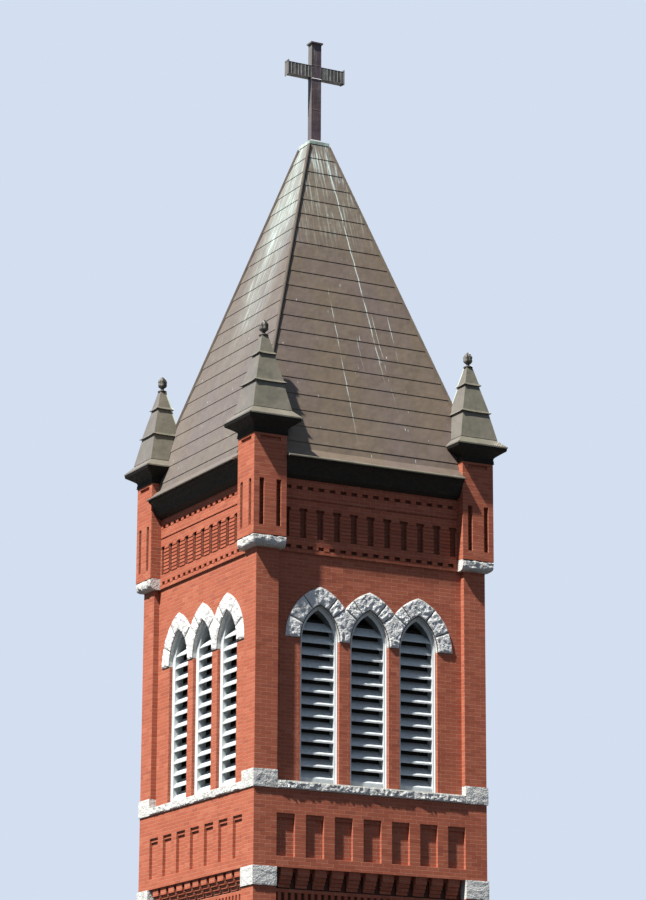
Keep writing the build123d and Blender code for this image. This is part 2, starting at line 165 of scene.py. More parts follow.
class Graph:
    """Adds nodes to a node tree, each one fed as it is made."""

    def __init__(self, tree: bpy.types.NodeTree) -> None:
        """Starts on a tree."""
        self.tree = tree

    def add(self, kind: str, output: Union[int, str], inputs: Optional[dict] = None,
            **settings: object) -> Signal:
        """Adds a node and feeds it.

        Args:
            kind: The node's type, without the words that all types begin with.
            output: The output that is wanted.
            inputs: The term for each input that is fed.
            settings: Properties to set on the node.

        Returns:
            The wanted output.
        """
        made = self.tree.nodes.new("ShaderNode" + kind)
        for key, value in settings.items():
            setattr(made, key, value)
        self.feed(made, inputs or {})
        return Signal(self, made.outputs[output])

    def feed(self, node: bpy.types.Node, inputs: dict) -> None:
        """Links inputs of a node to signals, or sets them to plain numbers or colours.

        Args:
            node: The node.
            inputs: The term for each input, by its number or its name.
        """
        for key, term in inputs.items():
            if isinstance(term, Signal):
                self.tree.links.new(term.socket, node.inputs[key])
            else:
                node.inputs[key].default_value = term

    def math(self, operation: str, *terms: Term) -> Signal:
        """Adds a Math node."""
        return self.add("Math", 0, dict(enumerate(terms)), operation=operation)

    def split(self, term: Signal) -> list[Signal]:
        """Parts a vector into its three numbers."""
        return [self.add("SeparateXYZ", axis, {0: term}) for axis in range(3)]

    def join(self, *terms: Term) -> Signal:
        """Makes a vector of three numbers."""
        return self.add("CombineXYZ", 0, dict(enumerate(terms)))

    def mix(self, share: Term, a: Term, b: Term) -> Signal:
        """Mixes two numbers."""
        return self.add("Mix", 0, {0: share, 2: a, 3: b})

    def blend(self, share: Term, a: Term, b: Term) -> Signal:
        """Mixes two colours."""
        return self.add("Mix", 2, {0: share, 6: a, 7: b}, data_type="RGBA")


class Wiring(Graph):
    """Writes the nodes of one material, one colour laid over another."""

    def __init__(self, name: str, base: str) -> None:
        """Starts a material with a plain colour.

        Args:
            name: The material's name.
            base: The lowest colour.
        """
        self.material = bpy.data.materials.new(name)
        self.material.use_nodes = True
        super().__init__(self.material.node_tree)
        self.tree.nodes.clear()
        self.shader = self.add("BsdfPrincipled", 0)
        self.feed(self.tree.nodes.new("ShaderNodeOutputMaterial"), {0: self.shader})
        self.colour: Term = paint(base)
        self.at = self.add("TexCoord", "Object")
        self.x, self.y, self.z = self.split(self.at)
        self.normal = self.split(self.add("TexCoord", "Normal"))

    def lay(self, share: Term, code: str) -> None:
        """Lays a colour over the colour so far."""
        self.colour = self.blend(share, self.colour, paint(code))

    def grain(self, scale: float, detail: float, rough: float = 0.55,
              stretch: Optional[Sequence[float]] = None, at: Optional[Signal] = None) -> Signal:
        """Adds a noise pattern.

        Args:
            scale: Repeats to a metre.
            detail: Layers of finer noise.
            rough: Weight of the finer layers.
            stretch: Scale of each axis, for streaks.
            at: The place that is read, if not the object's own.

        Returns:
            The noise.
        """
        at = at or self.at
        if stretch:
            at = self.add("VectorMath", 0, {0: at, 1: stretch}, operation="MULTIPLY")
        inputs = {"Vector": at, "Scale": scale, "Detail": detail, "Roughness": rough}
        return self.add("TexNoise", "Fac", inputs)

    def chips(self, scale: float) -> Signal:
        """Adds a cell pattern and returns its distance."""
        return self.add("TexVoronoi", "Distance", {"Vector": self.at, "Scale": scale})

    def lot(self, *terms: Term) -> Signal:
        """Adds white noise: one steady random number for each place."""
        return self.add("TexWhiteNoise", "Value", {"Vector": self.join(*terms)})

    def relief(self, height: Signal, depth: float, after: Optional[Signal] = None) -> Signal:
        """Adds a Bump node.

        Args:
            height: The height pattern, from 0 to 1.
            depth: Metres between 0 and 1.
            after: The normal that it works on.

        Returns:
            The new normal.
        """
        inputs = {"Strength": 1.0, "Distance": depth, "Height": height}
        return self.add("Bump", 0, inputs | ({"Normal": after} if after else {}))

    def wall(self) -> tuple[Signal, Signal, Signal]:
        """Reads the place on a wall.

        Returns:
            The distance along the wall, the height, and 1 on the left and right walls.
        """
        nx, ny, nz = (abs(part) for part in self.normal)
        across = nx > ny
        return self.mix(across, self.x, self.y), self.mix(nz > 0.7, self.z, self.y), across

    def reach(self) -> Signal:
        """Measures how far the place lies from the tower's middle."""
        return self.math("MAXIMUM", abs(self.x), abs(self.y))

    def done(self, rough: Term, normal: Optional[Signal] = None, metal: float = 0.0,
             shine: float = 0.5) -> Material:
        """Connects the colour and the finished patterns to the shader.

        Args:
            rough: The roughness.
            normal: The bumped normal.
            metal: How metallic the surface is.
            shine: The specular level.

        Returns:
            The finished material.
        """
        terms = {"Base Color": self.colour, "Roughness": rough, "Metallic": metal,
                 "Specular IOR Level": shine}
        self.feed(self.shader.socket.node, terms | ({"Normal": normal} if normal else {}))
        return self.material


@dataclass(frozen=True)
class BrickFinish:
    """Pressed red brick with thin joints, set out on the tower's own courses."""

    name: str = "red_pressed_brick"
    body: str = "9e553e"
    deep: str = "904a35"
    pale: str = "ac6850"
    burnt: str = "7a3d2f"
    mortar: str = "b8866e"
    old_mortar: str = "a07a69"
    # near-black colour of the painted shade in recesses and on the tower's inner faces
    painted_shade: str = "1d1512"
    joint: float = 0.0035
    jointed: bool = True
    recesses: tuple[Row, ...] = (   # foot, head, face and share of painted shade behind it
        (FRIEZE_FOOT, 15.26, FRIEZE_FACE - 0.030, 0.55), (7.75, 8.46, 2.165, 0.85))

    def make(self) -> Material:
        """Builds the brick material.

        Returns:
            The finished material.
        """
        w = Wiring(self.name, self.deep)
        u, v, across = w.wall()
        row = (v / COURSE).floor()
        odd = w.math("MODULO", abs(row + across), 2.0)
        along = (u + PIER_FACE) / BRICK + odd * 0.5
        toss = w.add("Attribute", "Fac", attribute_name="lot")
        if self.jointed:
            toss = w.lot(along.floor(), row, across)
        second, third = ((toss * factor).fraction() for factor in (917.3, 531.9))
        clay = w.grain(55.0, 5.0, 0.65)
        rain = w.grain(1.0, 4.0, 0.65, (5.0, 5.0, 0.5))
        w.lay(toss, self.body)
        w.lay(second.step(0.75, 1.0, 0.5), self.pale)
        w.lay(third.step(0.94, 0.97, 0.45), self.burnt)
        w.lay(clay.step(0.35, 0.75, 0.25), self.pale)
        w.lay(w.grain(0.7, 4.0).step(0.45, 0.75, 0.35), self.deep)
        w.lay(rain.step(0.58, 0.75, 0.3), self.burnt)
        height = clay * 0.35
        if self.jointed:
            brick = self.lay_joints(w, along, v)
            height = height + brick * 1.6
            # Painted shade in the backs of the frieze slots and in the gaps of the corbel table.
            for foot, head, face, share in self.recesses:
                w.lay((w.z > foot) * (w.z < head) * (w.reach() < face) * share, self.painted_shade)
            # Painted shade on the faces inside the tower.
            w.lay(w.reach().step(2.0, 1.94), self.painted_shade)
        return w.done(clay.step(0.2, 0.8, 0.9, 0.72), w.relief(height, 0.004), shine=0.3)

    def lay_joints(self, w: Wiring, along: Signal, v: Signal) -> Signal:
        """Lays the mortar joints.

        Args:
            w: The material's wiring.
            along: The place along the course, in bricks.
            v: The height.

        Returns:
            1 on a brick and 0 in a joint.
        """
        edges = []
        for share, size in ((along.fraction(), BRICK), ((v / COURSE).fraction(), COURSE)):
            edges.append(w.math("MINIMUM", share * size, size - share * size))
        edge = w.math("MINIMUM", *edges) + (w.grain(70.0, 2.0) - 0.5) * 0.003
        brick = edge.step(self.joint - 0.001, self.joint + 0.0015)
        grout = w.blend(w.grain(120.0, 3.0), paint(self.mortar), paint(self.old_mortar))
        w.colour = w.blend(brick, grout, w.colour)
        return brick


@dataclass(frozen=True)
class GraniteFinish:
    """Light grey granite with dark specks, rock-faced or dressed."""

    name: str = "light_granite"
    body: str = "b9bab8"
    pale: str = "d3d3cf"
    speck: str = "4b4e50"
    # grime in patches, and the painted shade on faces that look upward
    grime_and_top_shade: str = "6d6d67"
    bed: str = "2b2927"
    rock: float = 0.012
    bed_from: float = 0.0

    def make(self) -> Material:
        """Builds the granite material.

        Returns:
            The finished material.
        """
        w = Wiring(self.name, self.pale)
        fine = w.grain(110.0, 4.0, 0.7)
        w.lay(w.chips(45.0).step(0.2, 0.6), self.body)
        w.lay(fine.step(0.54, 0.68, 0.65), self.speck)
        w.lay(w.grain(22.0, 4.0, 0.7).step(0.54, 0.66, 0.4), self.speck)
        w.lay(w.grain(4.0, 5.0, 0.65).step(0.5, 0.72, 0.4), self.grime_and_top_shade)
        if self.bed_from:
            w.lay(w.reach().step(self.bed_from - 0.001, self.bed_from), self.bed)
        # Painted shade: faces that look upward are darkened, so that their lit tops stay grey.
        w.lay(w.normal[2].step(0.25, 0.7, 0.75), self.grime_and_top_shade)
        rock = w.grain(26.0, 6.0, 0.65) + w.chips(38.0) * 0.5
        normal = w.relief(fine, 0.002, w.relief(rock, self.rock))
        return w.done(fine.step(0.3, 0.7, 0.85, 0.6), normal, shine=0.4)


@dataclass(frozen=True)
class SheetFinish:
    """Metal sheet, weathered to brown and combed with pale run-off below the cap."""

    name: str
    body: str
    second: str
    dark: str
    wash: str
    comb_front: Pair = NOWHERE
    comb_side: Pair = NOWHERE
    comb: float = 0.9
    flecks: float = 0.7
    # share of the painted sheen laid on the left and right faces
    grey: float = 0.0
    flashing: float = 0.0
    runs: tuple[Row, ...] = ()      # start, drift, top, foot and width
    rough: float = 0.5
    metal: float = 0.15
    side_sheen: str = "716e6e"

    def make(self) -> Material:
        """Builds the sheet material.

        Returns:
            The finished material.
        """
        w = Wiring(self.name, self.body)
        u, v, across = w.wall()
        w.lay(w.grain(1.0, 4.0, 0.55, (1.1, 1.1, 0.4)).step(0.44, 0.64, 0.8), self.second)
        w.lay(w.grain(2.6, 5.0, 0.6).step(0.4, 0.75, 0.45), self.dark)
        # Painted reflection: the left and right faces are greyed, standing in for the sky's sheen
        # on them.
        w.lay(across * self.grey, self.side_sheen)
        self.comb_down(w, u, v, across)
        wobble = (w.grain(3.0, 3.0) - 0.5) * 0.06
        broken = w.grain(1.0, 3.0, at=w.join(u * 9.0, across, v * 2.6)).step(0.35, 0.55)
        for start, drift, top, foot, width in self.runs:
            off = abs(u - ((SPIRE_TOP - w.z) * drift + start) + wobble)
            run = off.step(width, width * 0.3) * w.z.step(top, top - 0.3)
            share = run * w.z.step(foot, foot + 1.2) * broken
            w.lay(share * (0.75 - across * 0.65), self.wash)
        speck = w.grain(1.0, 2.0, at=w.join(u * 22.0, across * 5.0, v * 5.0))
        w.lay(speck.step(0.70, 0.75, self.flecks), self.wash)
        if self.flashing:
            edge = abs(abs(w.x) - abs(w.y)).step(0.034, 0.020, self.flashing)
            inner = (abs(w.x) + abs(w.y)).step(2 * PINNACLE - 0.04, 2 * PINNACLE - 0.06)
            w.lay(edge * inner, self.wash)
        rough = w.grain(8.0, 4.0).step(0.3, 0.7, self.rough + 0.12, self.rough - 0.08)
        normal = w.relief(w.grain(45.0, 3.0), 0.0012, w.relief(w.grain(3.0, 2.0), 0.02))
        return w.done(rough, normal, self.metal, 0.35)

    def comb_down(self, w: Wiring, u: Signal, v: Signal, across: Signal) -> None:
        """Lays the threads and the film of pale run-off.

        Args:
            w: The material's wiring.
            u: The place along the roof.
            v: The height.
            across: 1 on the left and right roofs.
        """
        thread = w.grain(1.0, 4.0, 0.65, at=w.join(u * 26.0, across * 9.0, v * 1.3))
        cloud = w.grain(1.0, 3.0, at=w.join(u * 2.4, across + 3.0, v * 0.7))
        middle = w.math("MAXIMUM", abs(u + 0.05).step(0.85, 0.1), w.z.step(20.6, 21.8, 0.85))
        side = w.z.step(*self.comb_side, 1.2) * middle
        reach = w.mix(across, w.z.step(*self.comb_front), side) * cloud.step(0.3, 0.62, 1.0, 0.35)
        w.lay(thread.step(0.50, 0.66) * reach * self.comb, self.wash)
        w.lay(reach * w.mix(across, 0.08 * self.comb, 0.3 * self.comb), self.wash)


@dataclass(frozen=True)
class HipFinish:
    """The roof's hip strips: brown sheet, with a painted black shadow along one side of two of the
    hips.
    """

    name: str = "hip_strip"
    body: str = "544a41"
    worn: str = "463e36"
    painted_hip_shadow: str = "171413"

    def make(self) -> Material:
        """Builds the strip's material.

        Returns:
            The finished material.
        """
        w = Wiring(self.name, self.body)
        w.lay(w.grain(6.0, 4.0, 0.6).step(0.4, 0.7), self.worn)
        # Painted shadow: black on the part of the near hip that turns to the front, and the
        # matching part of the back hip.
        past = abs(w.y) - abs(w.x)
        w.lay(past.step(0.006, 0.012) * (w.x * w.y).step(0.0, 0.01), self.painted_hip_shadow)
        return w.done(0.75, shine=0.2)


@dataclass(frozen=True)
class PaintFinish:
    """Oil paint on boards, dulled by weather."""

    name: str = "louvre_white_paint"
    body: str = "b9c0c2"
    dirt: str = "6f7674"
    bare: str = "8d8878"
    dirty: float = 0.4
    rough: float = 0.5
    shine: float = 0.5
    dark_from: float = 0.0
    # colour of the painted shade on faces that look downward
    under: str = "3b3f3c"
    # colour of the painted shade deep inside the louvre
    inside: str = "14130f"

    def make(self) -> Material:
        """Builds the paint material.

        Returns:
            The finished material.
        """
        w = Wiring(self.name, self.body)
        spots = w.grain(30.0, 4.0, 0.6)
        streak = w.grain(6.0, 5.0, 0.65, (3.0, 3.0, 0.35))
        w.lay(streak.step(0.45, 0.75, self.dirty), self.dirt)
        w.lay(spots.step(0.66, 0.72, 0.5), self.bare)
        if self.dark_from:
            # Painted shade on the faces that look downward.
            w.lay(w.normal[2].step(-0.15, -0.5, 0.8), self.under)
            # Painted shade on the slats' inner ends, deep inside the louvre.
            w.lay(w.reach().step(self.dark_from, self.dark_from - 0.015), self.inside)
        normal = w.relief(w.grain(60.0, 3.0, 0.5, (1.0, 1.0, 0.3)), 0.001)
        rough = spots.step(0.3, 0.7, self.rough + 0.15, self.rough - 0.1)
        return w.done(rough, normal, shine=self.shine)


@dataclass(frozen=True)
class BoardFinish:
    """Bare floor boards, one plank after another."""

    name: str = "grey_floor_boards"
    body: str = "8a7761"
    dark: str = "4d4033"
    crack: str = "1c1712"
    plank: float = 0.14

    def make(self) -> Material:
        """Builds the board material.

        Returns:
            The finished material.
        """
        w = Wiring(self.name, self.dark)
        along = w.x / self.plank
        grain = w.grain(9.0, 5.0, 0.6, (6.0, 0.5, 1.0))
        w.lay(grain, self.body)
        w.lay(w.lot(along.floor(), 0.0, 0.0) * 0.4, self.dark)
        w.lay(abs(along.fraction() - 0.5).step(0.475, 0.49), self.crack)
        return w.done(0.75, w.relief(grain, 0.002))


RUNS = (
    (0.08, 0.09, 22.4, 17.2, 0.014), (0.13, 0.10, 18.9, 16.6, 0.006),
    (-0.42, 0.025, 19.3, 15.9, 0.008), (0.62, 0.06, 18.9, 17.6, 0.009),
    (-0.12, 0.05, 18.4, 17.3, 0.007), (0.98, 0.02, 19.3, 18.6, 0.008),
)
FINISHES = {
    "brick": BrickFinish(),
    "brick_face": BrickFinish("red_brick_face", jointed=False),
    "granite": GraniteFinish(),
    # a lighter copy of the granite for the arch stones: painted light that offsets the shade on
    # their rough faces
    "lightened_arch_granite": GraniteFinish("lightened_arch_granite", "cbcccc", "dcdddc"),
    "granite_bed": GraniteFinish("granite_on_mortar", bed_from=2.2118),
    "paint": PaintFinish(dark_from=1.965),
    "trim_paint": PaintFinish("louvre_trim_paint", "c6ccce"),
    # near-black painted shade for the blocks on the slats' inner edges
    "stop": PaintFinish("slat_shade_paint", "1a1815", "0f0e0c", "26231e", shine=0.1),
    "hip": HipFinish(),
    "boards": BoardFinish(),
    "black": PaintFinish("cornice_black_paint", "191715", "0f0d0c", "2c2925", 0.5, 0.7, 0.15),
    "pinnacle": SheetFinish("pinnacle_roof_sheet", "716c61", "666356", "4c4b41", "c3cfc2",
                            flecks=0.35, grey=0.5, flashing=0.85),
    "bud": SheetFinish("finial_lead", "45433c", "3a3832", "211f1c", "a5a79c", flecks=0.5,
                       grey=0.55),
    "roof": SheetFinish("weathered_roof_sheet", "675b4e", "645854", "54493f", "c3d5d0",
                        (19.6, 22.6), (17.2, 21.5), grey=0.4, runs=RUNS),
    "verdigris": SheetFinish("verdigris_cap", "8fa79b", "a9b8ad", "5a6b62", "e3e8e2",
                             (21.5, 22.4), (21.5, 22.4), 1.0),
    "cross": SheetFinish("cross_sheet", "5a4a4c", "524451", "30262a", "a9bdb2", (22.0, 25.5),
                         (22.0, 25.5), 0.35, 0.2, 0.45),
    "arm": SheetFinish("cross_arm_sheet", "4d4345", "433b40", "2a2326", "b4c8bd", (20.0, 21.0),
                       (20.0, 21.0), 0.55, 0.2, 0.5),
    "strap": SheetFinish("pale_strap", "c6c4c4", "b3b3b5", "7d7b7c", "e6e6e6"),
}


@dataclass
class CadDressing:
    """Gives each node of the frame its finish."""

    finishes: dict[str, Material]
    plan: tuple[tuple[str, str], ...] = (   # how the names of the nodes with a finish begin
        ("brick", "corner_pier lower_wall dentil corbel_tables panel_wall belfry_wall frieze"),
        ("brick", "pinnacle_shafts"),
        ("granite", "granite_base lower_granite belt_granite belt_sills corbel_stones"),
        ("granite_bed", "lancet_arches"), ("paint", "louvres"), ("boards", "belfry_floor"),
        ("black", "main_cornice pinnacle_cornices"), ("verdigris", "spire_cap"),
        ("pinnacle", "pinnacle_roofs pinnacle_finials"), ("roof", "spire"),
        ("hip", "hip_battens"), ("cross", "cross"),
    )

    def dress(self) -> None:
        """Puts a material in every slot of every node."""
        for name, node in sorted(frame["nodes"].items()):
            finish = next(finish for finish, starts in self.plan
                          if name.startswith(tuple(starts.split())))
            if not node.material_slots:
                node.data.materials.append(self.finishes[finish])
            for slot in node.material_slots:
                slot.material = self.finishes[finish]
            LOG.info("%s dressed in %s", name, finish)


def only(*pieces: Object) -> None:
    """Selects some pieces alone and makes the first one active.

    Args:
        pieces: The pieces, the active one first.
    """
    bpy.ops.object.select_all(action="DESELECT")
    for piece in pieces:
        piece.select_set(True)
    bpy.context.view_layer.objects.active = pieces[0]


@contextmanager
def editing(piece: Object, action: str = "DESELECT") -> Iterator[bmesh.types.BMesh]:
    """Opens a piece in edit mode, and closes it again.

    Args:
        piece: The piece to open.
        action: "SELECT" to select all of it first, "DESELECT" for nothing.

    Yields:
        Its mesh, as edit mode holds it.
    """
    only(piece)
    bpy.ops.object.mode_set(mode="EDIT")
    bpy.ops.mesh.select_mode(type="FACE")
    bpy.ops.mesh.select_all(action=action)
    yield bmesh.from_edit_mesh(piece.data)
    bpy.ops.object.mode_set(mode="OBJECT")


def choose(piece: Object, test: Callable[[bmesh.types.BMFace], bool]) -> None:
    """Selects the faces of an open piece that pass a test.

    Args:
        piece: The open piece.
        test: Says whether a face is chosen.
    """
    for face in bmesh.from_edit_mesh(piece.data).faces:
        face.select_set(test(face))
    bmesh.update_edit_mesh(piece.data)


def choose_facing(piece: Object, *way: float) -> None:
    """Selects the faces of an open piece that look one way."""
    choose(piece, lambda face: face.normal.dot(Vector(way)) > FACING)


def cut(place: Sequence[float], normal: Sequence[float], clear: bool = False) -> None:
    """Cuts the whole open piece with a plane, and can clear what lies past it."""
    bpy.ops.mesh.select_all(action="SELECT")
    bpy.ops.mesh.bisect(plane_co=place, plane_no=normal, clear_outer=clear)


def turn_out(piece: Object) -> None:
    """Turns all faces of a piece outwards."""
    with editing(piece, "SELECT"):
        bpy.ops.mesh.normals_make_consistent(inside=False)


def scale(x: float, y: float, *about: float) -> None:
    """Scales what is selected in the open piece along x and y, about a place."""
    bpy.ops.transform.resize(value=(x, y, 1), center_override=about)


def draw_up(height: float) -> None:
    """Draws what is selected in the open piece up, or down below zero."""
    bpy.ops.mesh.extrude_region_move(TRANSFORM_OT_translate={"value": (0, 0, height)})


def newest(name: str) -> Object:
    """Names the primitive that was just added, and puts its place and size into its mesh.

    Args:
        name: Its name.

    Returns:
        The primitive.
    """
    bpy.context.object.name = name
    bpy.ops.object.transform_apply(location=True, rotation=True, scale=True)
    return bpy.context.object


def set_block(name: str, low: Sequence[float], high: Sequence[float]) -> Object:
    """Adds a block between its lowest and its highest corner.

    Args:
        name: The block's name.
        low: Its lowest corner.
        high: Its highest corner.

    Returns:
        The block.
    """
    bpy.ops.mesh.primitive_cube_add(size=1, location=[(a + b) / 2 for a, b in zip(low, high)])
    bpy.context.object.scale = [b - a for a, b in zip(low, high)]
    return newest(name)


def set_grid(name: str, across: int, up: int) -> Object:
    """Adds a sheet one metre square, divided across and up, with a corner at the origin.

    Args:
        name: The sheet's name.
        across: Faces across.
        up: Faces up.

    Returns:
        The sheet.
    """
    bpy.ops.mesh.primitive_grid_add(x_subdivisions=across, y_subdivisions=up, size=1,
                                    location=(0.5, 0.5, 0))
    return newest(name)


def repeat(piece: Object, count: int, offset: Sequence[float]) -> None:
    """Repeats a piece's mesh along a line.

    Args:
        piece: The piece to repeat.
        count: How many there are then.
        offset: The way from one to the next.
    """
    bpy.context.view_layer.objects.active = piece
    rule = piece.modifiers.new("repeat", "ARRAY")
    rule.use_relative_offset = False
    rule.use_constant_offset = True
    rule.constant_offset_displace = offset
    rule.count = count
    bpy.ops.object.modifier_apply(modifier=rule.name)


def twin(piece: Object, name: str, matrix: Matrix) -> Object:
    """Copies a piece with its own mesh and moves the copy's mesh.

    Args:
        piece: The piece to copy.
        name: The copy's name.
        matrix: The move.

    Returns:
        The copy.
    """
    copy = piece.copy()
    copy.data = piece.data.copy()
    copy.name = name
    copy.data.transform(matrix)
    bpy.context.scene.collection.objects.link(copy)
    return copy


def turned(side: Side) -> Matrix:
    """The turn that takes a front piece to a side."""
    return Matrix.Rotation(math.radians(side.value), 4, "Z")


def unite(pieces: Sequence[Object], name: str) -> Object:
    """Joins pieces into one and names it.

    Args:
        pieces: The pieces, of which the first one stays.
        name: The new name.

    Returns:
        The joined piece.
    """
    only(*pieces)
    if len(pieces) > 1:
        bpy.ops.object.join()
    pieces[0].name = name
    return pieces[0]


def four_sides(piece: Object, name: str) -> Object:
    """Joins a front piece with its copies on the other three sides."""
    copies = [twin(piece, name, turned(side)) for side in (Side.RIGHT, Side.BACK, Side.LEFT)]
    return unite([piece, *copies], name)


def four_corners(piece: Object, name: str) -> Object:
    """Moves a piece from the middle to a pinnacle, and joins it with its copies."""
    piece.data.transform(Matrix.Translation((PINNACLE, -PINNACLE, 0)))
    return four_sides(piece, name)


def set_lots(piece: Object, lots: Iterable[float]) -> None:
    """Gives each face of a piece the random number that its brick's colour comes from."""
    piece.data.attributes.new("lot", "FLOAT", "FACE").data.foreach_set("value", lots)


def hashed(number: float, stretch: float = SCATTER) -> float:
    """Turns a number into a steady random one from 0 to 1."""
    return math.modf(abs(math.sin(number)) * stretch)[0]


def settle(piece: Object, finish: Material, slot: str, *stands_for: str,
           smooth: float = 0.0) -> None:
    """Gives a finished piece its material and its place in the frame, and reports it.

    Args:
        piece: The finished piece.
        finish: Its material.
        slot: The record's material slot; not used.
        stands_for: The nodes that it replaces.
        smooth: Degrees up to which its edges are shaded smooth.
    """
    piece.data.materials.clear()
    piece.data.materials.append(finish)
    if smooth:
        only(piece)
        bpy.ops.object.shade_smooth_by_angle(angle=math.radians(smooth))
    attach(piece, "root")
    if stands_for:
        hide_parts(*stands_for)
    LOG.info("%s: %d faces%s", piece.name, len(piece.data.polygons),
             ", stands for " + ", ".join(stands_for) if stands_for else "")


@dataclass(frozen=True)
class Field:
    """A rectangle of brickwork on a wall that faces the front.

    The courses are shifted the other way on the left and right walls, where odd is 1.
    """

    odd: int
    left: float
    right: float
    foot: float
    head: float
    face: float
    start: float = -PIER_FACE
    arris: float = 0.001
    unevenness: float = 0.0008
    corner: float = 0.012
    inset: float = 0.01

    def lay(self, leave_out: Optional[Callable[[float, float], bool]] = None) -> Object:
        """Lays the bricks of the field in half bond.

        Args:
            leave_out: Says whether a brick with this middle is left out.

        Returns:
            The laid bricks.
        """
        row = math.floor(self.foot / COURSE + SLIP)
        column = math.floor((self.left - self.start) / BRICK + SLIP) - 1
        x, z = self.start + column * BRICK, row * COURSE
        piece = set_block("bricks", (x + JOINT / 2, -self.face - PROUD, z + JOINT / 2),
                          (x + BRICK - JOINT / 2, -self.face, z + COURSE - JOINT / 2))
        with editing(piece) as mesh:
            for vert in mesh.verts:
                if vert.co.y < -self.face - PROUD / 2:
                    vert.co.x += math.copysign(self.arris, x + BRICK / 2 - vert.co.x)
                    vert.co.z += math.copysign(self.arris, z + COURSE / 2 - vert.co.z)
            choose_facing(piece, 0, 1, 0)
            bpy.ops.mesh.delete(type="FACE")
        repeat(piece, math.ceil((self.right - x) / BRICK) + 1, (BRICK, 0, 0))
        shifted = (row + self.odd) % 2
        with editing(piece, "SELECT"):
            if shifted:
                bpy.ops.transform.translate(value=(BRICK / 2, 0, 0))
            bpy.ops.mesh.duplicate()
            bpy.ops.transform.translate(value=(-BRICK / 2 if shifted else BRICK / 2, 0, COURSE))
        repeat(piece, math.ceil(((self.head - z) / COURSE - SLIP) / 2), (0, 0, 2 * COURSE))
        with editing(piece):
            cut((self.left, 0, 0), (-1, 0, 0), True)
            cut((self.right, 0, 0), (1, 0, 0), True)
            cut((0, 0, self.foot), (0, 0, -1), True)
            cut((0, 0, self.head), (0, 0, 1), True)
            if leave_out:
                choose(piece, lambda face: leave_out(*self.middle(face.calc_center_median())))
                bpy.ops.mesh.delete(type="FACE")
        self.toss(piece)
        return piece

    def middle(self, place: Vector) -> Pair:
        """Finds the middle of the brick at a place.

        Args:
            place: A place on the brick.

        Returns:
            The place along the wall and the height.
        """
        row = math.floor(place.z / COURSE)
        shift = 0.5 * ((row + self.odd) % 2)
        column = math.floor((place.x - self.start) / BRICK + shift)
        return self.start + (column + 0.5 - shift) * BRICK, (row + 0.5) * COURSE

    def toss(self, piece: Object) -> None:
        """Gives each brick a steady random number, and sets it a little in or out by it.

        Args:
            piece: The laid bricks.
        """
        mesh = piece.data
        places = np.empty(len(mesh.vertices) * 3)
        mesh.vertices.foreach_get("co", places)
        places = places.reshape(-1, 3)
        out = (self.lots(places) - 0.5) * self.unevenness
        places[:, 1] += np.where(places[:, 1] < -self.face - PROUD / 2, out, 0.0)
        edge = np.abs(np.abs(places[:, 0]) - PIER_FACE) < self.corner
        places[edge, 0] = np.sign(places[edge, 0]) * (PIER_FACE + PROUD)
        mesh.vertices.foreach_set("co", places.ravel())
        centres = np.empty(len(mesh.polygons) * 3)
        mesh.polygons.foreach_get("center", centres)
        set_lots(piece, self.lots(centres.reshape(-1, 3)))

    def lots(self, places: np.ndarray) -> np.ndarray:
        """Works out the random number of the brick at each place.

        Args:
            places: One place in each row.

        Returns:
            The random numbers, from 0 to 1.
        """
        across = np.clip(places[:, 0], self.left + self.inset, self.right - self.inset)
        row = np.floor(places[:, 2] / COURSE)
        column = np.floor((across - self.start) / BRICK + 0.5 * ((row + self.odd) % 2))
        wave = np.sin(column * 12.9898 + row * 78.233 + self.odd * 37.719 + self.start * 5.3)
        wave *= SCATTER
        return wave - np.floor(wave)


def arc_place(hand: int, angle: float, inward: float) -> Pair:
    """Finds a place on the arc of the middle lancet.

    Args:
        hand: 1 for the right arc, -1 for the left.
        angle: The angle above the springing.
        inward: The distance inside the opening.

    Returns:
        The place along the wall and the height.
    """
    reach = ARC_RADIUS - inward
    return hand * (reach * math.cos(angle) - ARC_CENTRE), SPRINGING + reach * math.sin(angle)


def lancet_gap(x: float, z: float) -> float:
    """Measures how far a place on the belfry wall lies outside the nearest lancet.

    Args:
        x: The place along the wall.
        z: The height.

    Returns:
        The distance, below zero inside the lancet.
    """
    side = min(abs(x - middle) for middle in (-PITCH, 0.0, PITCH))
    if z > SPRINGING:
        return math.hypot(side + ARC_CENTRE, z - SPRINGING) - ARC_RADIUS
    return side - HALF_WINDOW


